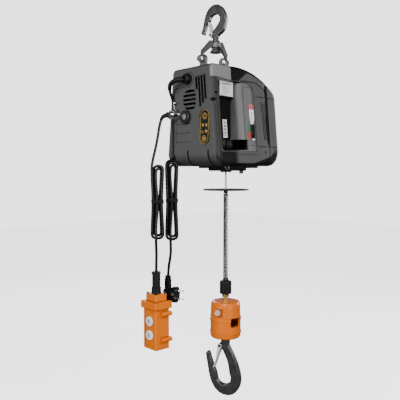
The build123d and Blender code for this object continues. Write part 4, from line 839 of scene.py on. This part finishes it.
# guide sticker and rocker on the inner housing's flat face (1.6 mm behind the front plane)
NOSE = -1.6
on_front("guide_header", rrect(15.5, 12.5, 1.0), 42.4, -207, NOSE + 0.05, 0.15, "label_red")
on_front("guide_body", [(-7.75, 17), (-7.6, 2), (-5.4, -15.2), (-4.6, -17), (3.2, -17), (4.2, -15.6), (7.6, -6.0), (7.75, 17)], 42.4, -230.2, NOSE + 0.05, 0.15, "label_white")
for i, (dx, dz, w, h) in enumerate([(-1.5, 9, 7.5, 1.2), (-0.5, 4.4, 3.4, 3.4), (-1, -1.2, 5.5, 1.0), (-0.6, -5.2, 3.2, 3.2), (-1.2, -10, 5, 1.0)]):
    on_front("guide_mark_%d" % i, rrect(w, h, min(w, h) * 0.32, 3), 42.4 + dx, -230.2 + dz, NOSE + 0.2, 0.06, "print_grey")
on_front("guide_dot", [(1.7 * math.cos(a), 1.7 * math.sin(a)) for a in [k * math.pi / 8 for k in range(16)]], 42.4, -206.6, NOSE + 0.2, 0.06, "label_red2")
on_front("green_mark", rrect(9.0, 13.5, 0.8), 29.6, -257.6, NOSE + 0.05, 0.15, "label_green")
on_front("red_mark", rrect(9.5, 16, 0.8), 31.0, -274.2, NOSE + 0.05, 0.15, "label_red2")
on_front("rocker_frame", rrect(12.5, 33, 2.0), 42.6, -263.5, NOSE + 0.02, 1.2, "black", None, 0.4)
on_front("rocker", rrect(8.0, 24, 1.5), 42.6, -262.8, NOSE + 1.1, 0.9, "black", None, 0.35)
on_front("rocker_window", rrect(8.0, 3.6, 0.9), 42.6, -282.8, NOSE + 1.15, 0.5, "label_white")

# ------------------------------------------------------------------ nameplate: raised gold line and round marks on a black pill
NB = Vector((-79.38, 46.5 * -1, -257.0))


def on_vent(name, loop, y, z, off, depth, mat, hole=None, rot=0.0, bevel=0.0):
    """On the vented face x = -79 (mm); loop x runs towards the front (-Y), loop y is up."""
    c, s = math.cos(rot), math.sin(rot)
    q = lambda L: None if L is None else [((a * c - b * s) * MM, (a * s + b * c) * MM) for a, b in L]
    o = extruded(name, q(loop), Vector((-79.0 - off, y, z)) * MM, (0, -1, 0), (0, 0, 1), depth * MM, M[mat], q(hole), bevel * MM)
    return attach(o, "casing")


def circ(r, k=20, x=0.0, y=0.0):
    return [(x + r * math.cos(2 * math.pi * i / k), y + r * math.sin(2 * math.pi * i / k)) for i in range(k)]


def ringed(loop_fn, a, b):
    return loop_fn(a), loop_fn(b)


TILT = -math.radians(3.24)
stad = lambda d: rrect(27 - 2 * d, 77 - 2 * d, 13.5 - d - 0.01, 10)
on_vent("nameplate_rim", stad(0.0), -46.5, -257, 0.3, 0.5, "label_gold", stad(1.15), TILT)
ct, st = math.cos(TILT), math.sin(TILT)
for i, (a, b, r1, r2) in enumerate([(0, 23.5, 7.2, 5.9), (-5.6, 3.5, 3.6, 0), (5.6, 3.5, 3.6, 0), (-5.8, -12, 3.4, 2.2), (5.8, -10, 3.8, 0), (0, -26.5, 7.0, 5.6), (0, 23.5, 3.8, 2.9), (0, -26.5, 3.2, 0)]):
    yy, zz = -46.5 - (a * ct - b * st), -257 + (a * st + b * ct)
    on_vent("nameplate_mark_%d" % i, circ(r1), yy, zz, 0.36, 0.16, "label_gold", circ(r2) if r2 else None)
for i in range(8):
    an = math.radians(i * 45)
    for j, b0 in enumerate((23.5, -26.5)):
        a, b = 5.0 * math.cos(an), b0 + 5.0 * math.sin(an)
        yy, zz = -46.5 - (a * ct - b * st), -257 + (a * st + b * ct)
        on_vent("nameplate_pip_%d_%d" % (i, j), circ(0.75, 8), yy, zz, 0.36, 0.14, "label_gold")


# ------------------------------------------------------------------ connector: the dust cap's chain and post
def torus_link(name, c, ax1, ax2, a, b, wire, mat):
    c, ax1, ax2 = Vector(c), Vector(ax1).normalized(), Vector(ax2).normalized()
    pts = [c + ax1 * a * math.cos(t) + ax2 * b * math.sin(t) for t in [2 * math.pi * k / 20 for k in range(21)]]
    return pts, wire


links = []
for k in range(7):
    t = k / 6
    c = Vector((-92 + 7.5 * t, 40.5 + 12 * math.sin(t * 2.2), -214.0 + 17.5 * math.sin(t * math.pi * 0.55))) * MM
    d1 = Vector((0.3, 0.6, 1.0)).normalized()
    side = Vector((1, -0.2, 0)) if k % 2 else Vector((0, 1, -0.5))
    links.append(torus_link("l", c, d1, side, 0.0026, 0.0016, 0.00055, None))
chain = joined("connector_cap_chain", links, M["chrome"], 8)
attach(chain, "casing")
boss = swept("connector_cap_post", [Vector((-78.9, 54.0, -196.5)) * MM, Vector((-84.0, 54.0, -196.5)) * MM], [0.0032, 0.0030], M["chrome"], 18)
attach(boss, "casing")

# ------------------------------------------------------------------ button arrows
def arrow(name, z, up, body):
    s = 1 if up else -1
    L = [(0, 5.4 * s), (4.6, 0.2 * s), (1.7, 0.2 * s), (1.7, -5.0 * s), (-1.7, -5.0 * s), (-1.7, 0.2 * s), (-4.6, 0.2 * s)]
    if not up:
        L = L[::-1]
    o = extruded(name, [(a * MM, b * MM) for a, b in L], Vector((-160.75, 55, z)) * MM, (0, -1, 0), (0, 0, 1), 0.0002, M["print_grey"])
    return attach(o, body)


arrow("arrow_up", -703, True, "button_up")
arrow("arrow_down", -735.5, False, "button_down")

# ------------------------------------------------------------------ no soft edges are added: the loop over the nameplate and limit disc does nothing
for n in ("nameplate", "limit_disc"):
    pass

# ------------------------------------------------------------------ stage, light, camera
ZF = -1.10
floor = obj_from("floor", [(-6, -6, ZF), (6, -6, ZF), (6, 6, ZF), (-6, 6, ZF)], [[0, 1, 2, 3]], None or M["label_white"], False)
fm = Mat("pale_floor")
fn = fm.noise(3.0, 3, 0.5)
fm.set(color=fm.ramp(fn, [(0.3, (0.86, 0.86, 0.86)), (0.7, (0.89, 0.89, 0.89))]), rough=0.75, normal=fm.bump(fm.noise(240, 3, 0.5), 0.03, 0.0005))
fm.b.inputs["Emission Color"].default_value = (1, 1, 1, 1)
fm.b.inputs["Emission Strength"].default_value = 2.3
fm.b.inputs["Specular IOR Level"].default_value = 0.1
floor.data.materials.clear()
floor.data.materials.append(fm.m)
floor.visible_diffuse = False
floor.visible_glossy = False

world = bpy.data.worlds.new("studio")
bpy.context.scene.world = world
world.use_nodes = True
wt = world.node_tree
bg = wt.nodes["Background"]
tc = wt.nodes.new("ShaderNodeTexCoord")
sx = wt.nodes.new("ShaderNodeSeparateXYZ")
wt.links.new(tc.outputs["Generated"], sx.inputs[0])
ramp = wt.nodes.new("ShaderNodeValToRGB")
els = ramp.color_ramp.elements
els[0].position, els[0].color = 0.0, (0.10, 0.10, 0.10, 1)
els[1].position, els[1].color = 1.0, (0.05, 0.05, 0.05, 1)
for p_, c_ in ((0.35, 0.12), (0.47, 0.24), (0.56, 0.26), (0.66, 0.14), (0.78, 0.05)):
    e_ = els.new(p_)
    e_.color = (c_, c_, c_ * 1.01, 1)
mr = wt.nodes.new("ShaderNodeMapRange")
mr.inputs[1].default_value = -1.0
wt.links.new(sx.outputs[2], mr.inputs[0])
wt.links.new(mr.outputs[0], ramp.inputs[0])
wt.links.new(ramp.outputs[0], bg.inputs[0])
bg.inputs[1].default_value = 1.0
white = wt.nodes.new("ShaderNodeBackground")
white.inputs[0].default_value = (1, 1, 1, 1)
white.inputs[1].default_value = 2.7
lp = wt.nodes.new("ShaderNodeLightPath")
mx = wt.nodes.new("ShaderNodeMixShader")
wt.links.new(lp.outputs["Is Camera Ray"], mx.inputs[0])
wt.links.new(bg.outputs[0], mx.inputs[1])
wt.links.new(white.outputs[0], mx.inputs[2])
wt.links.new(mx.outputs[0], wt.nodes["World Output"].inputs[0])


def area(name, loc, target, size, power, size_y=None):
    L = bpy.data.lights.new(name, "AREA")
    L.energy = power
    L.shape = "RECTANGLE"
    L.size = size
    L.size_y = size_y or size
    o = bpy.data.objects.new(name, L)
    bpy.context.scene.collection.objects.link(o)
    o.location = loc
    o.rotation_mode = "QUATERNION"
    o.rotation_quaternion = (Vector(target) - Vector(loc)).to_track_quat("-Z", "Y")
    return o


lights = [
    area("key", (-1.5, -1.25, 0.75), (0, 0, -0.35), 0.8, 30),
    area("left_fill", (-2.2, -0.3, -0.2), (0, 0, -0.4), 0.9, 34),
    area("right_rim", (2.0, -0.45, 0.1), (0, 0, -0.35), 0.4, 26, 1.2),
    area("front", (-0.25, -2.2, -0.2), (0, 0, -0.45), 0.8, 36),
    area("back_fill", (1.2, 2.2, 0.3), (0, 0, -0.4), 1.0, 16),
]

A = math.radians(44)
F = 562.5
f0 = Vector((math.sin(A), math.cos(A), 0))
r0 = Vector((math.cos(A), -math.sin(A), 0))
yaw, pit = math.atan(15.5 / F), math.atan(30.0 / F)
fy = f0 * math.cos(yaw) - r0 * math.sin(yaw)
rr = fy.cross(Vector((0, 0, 1))).normalized()
ff = fy * math.cos(pit) - Vector((0, 0, 1)) * math.sin(pit)
uu = rr.cross(ff)
cd = bpy.data.cameras.new("camera")
cd.sensor_width = 36
cd.lens = 36 * F / 400
cd.clip_start, cd.clip_end = 0.01, 50
cam = bpy.data.objects.new("camera", cd)
bpy.context.scene.collection.objects.link(cam)
C = -1.35 * f0 + Vector((0, 0, -0.3538))
cam.matrix_world = Matrix(((rr.x, uu.x, -ff.x, C.x), (rr.y, uu.y, -ff.y, C.y), (rr.z, uu.z, -ff.z, C.z), (0, 0, 0, 1)))
bpy.context.scene.camera = cam
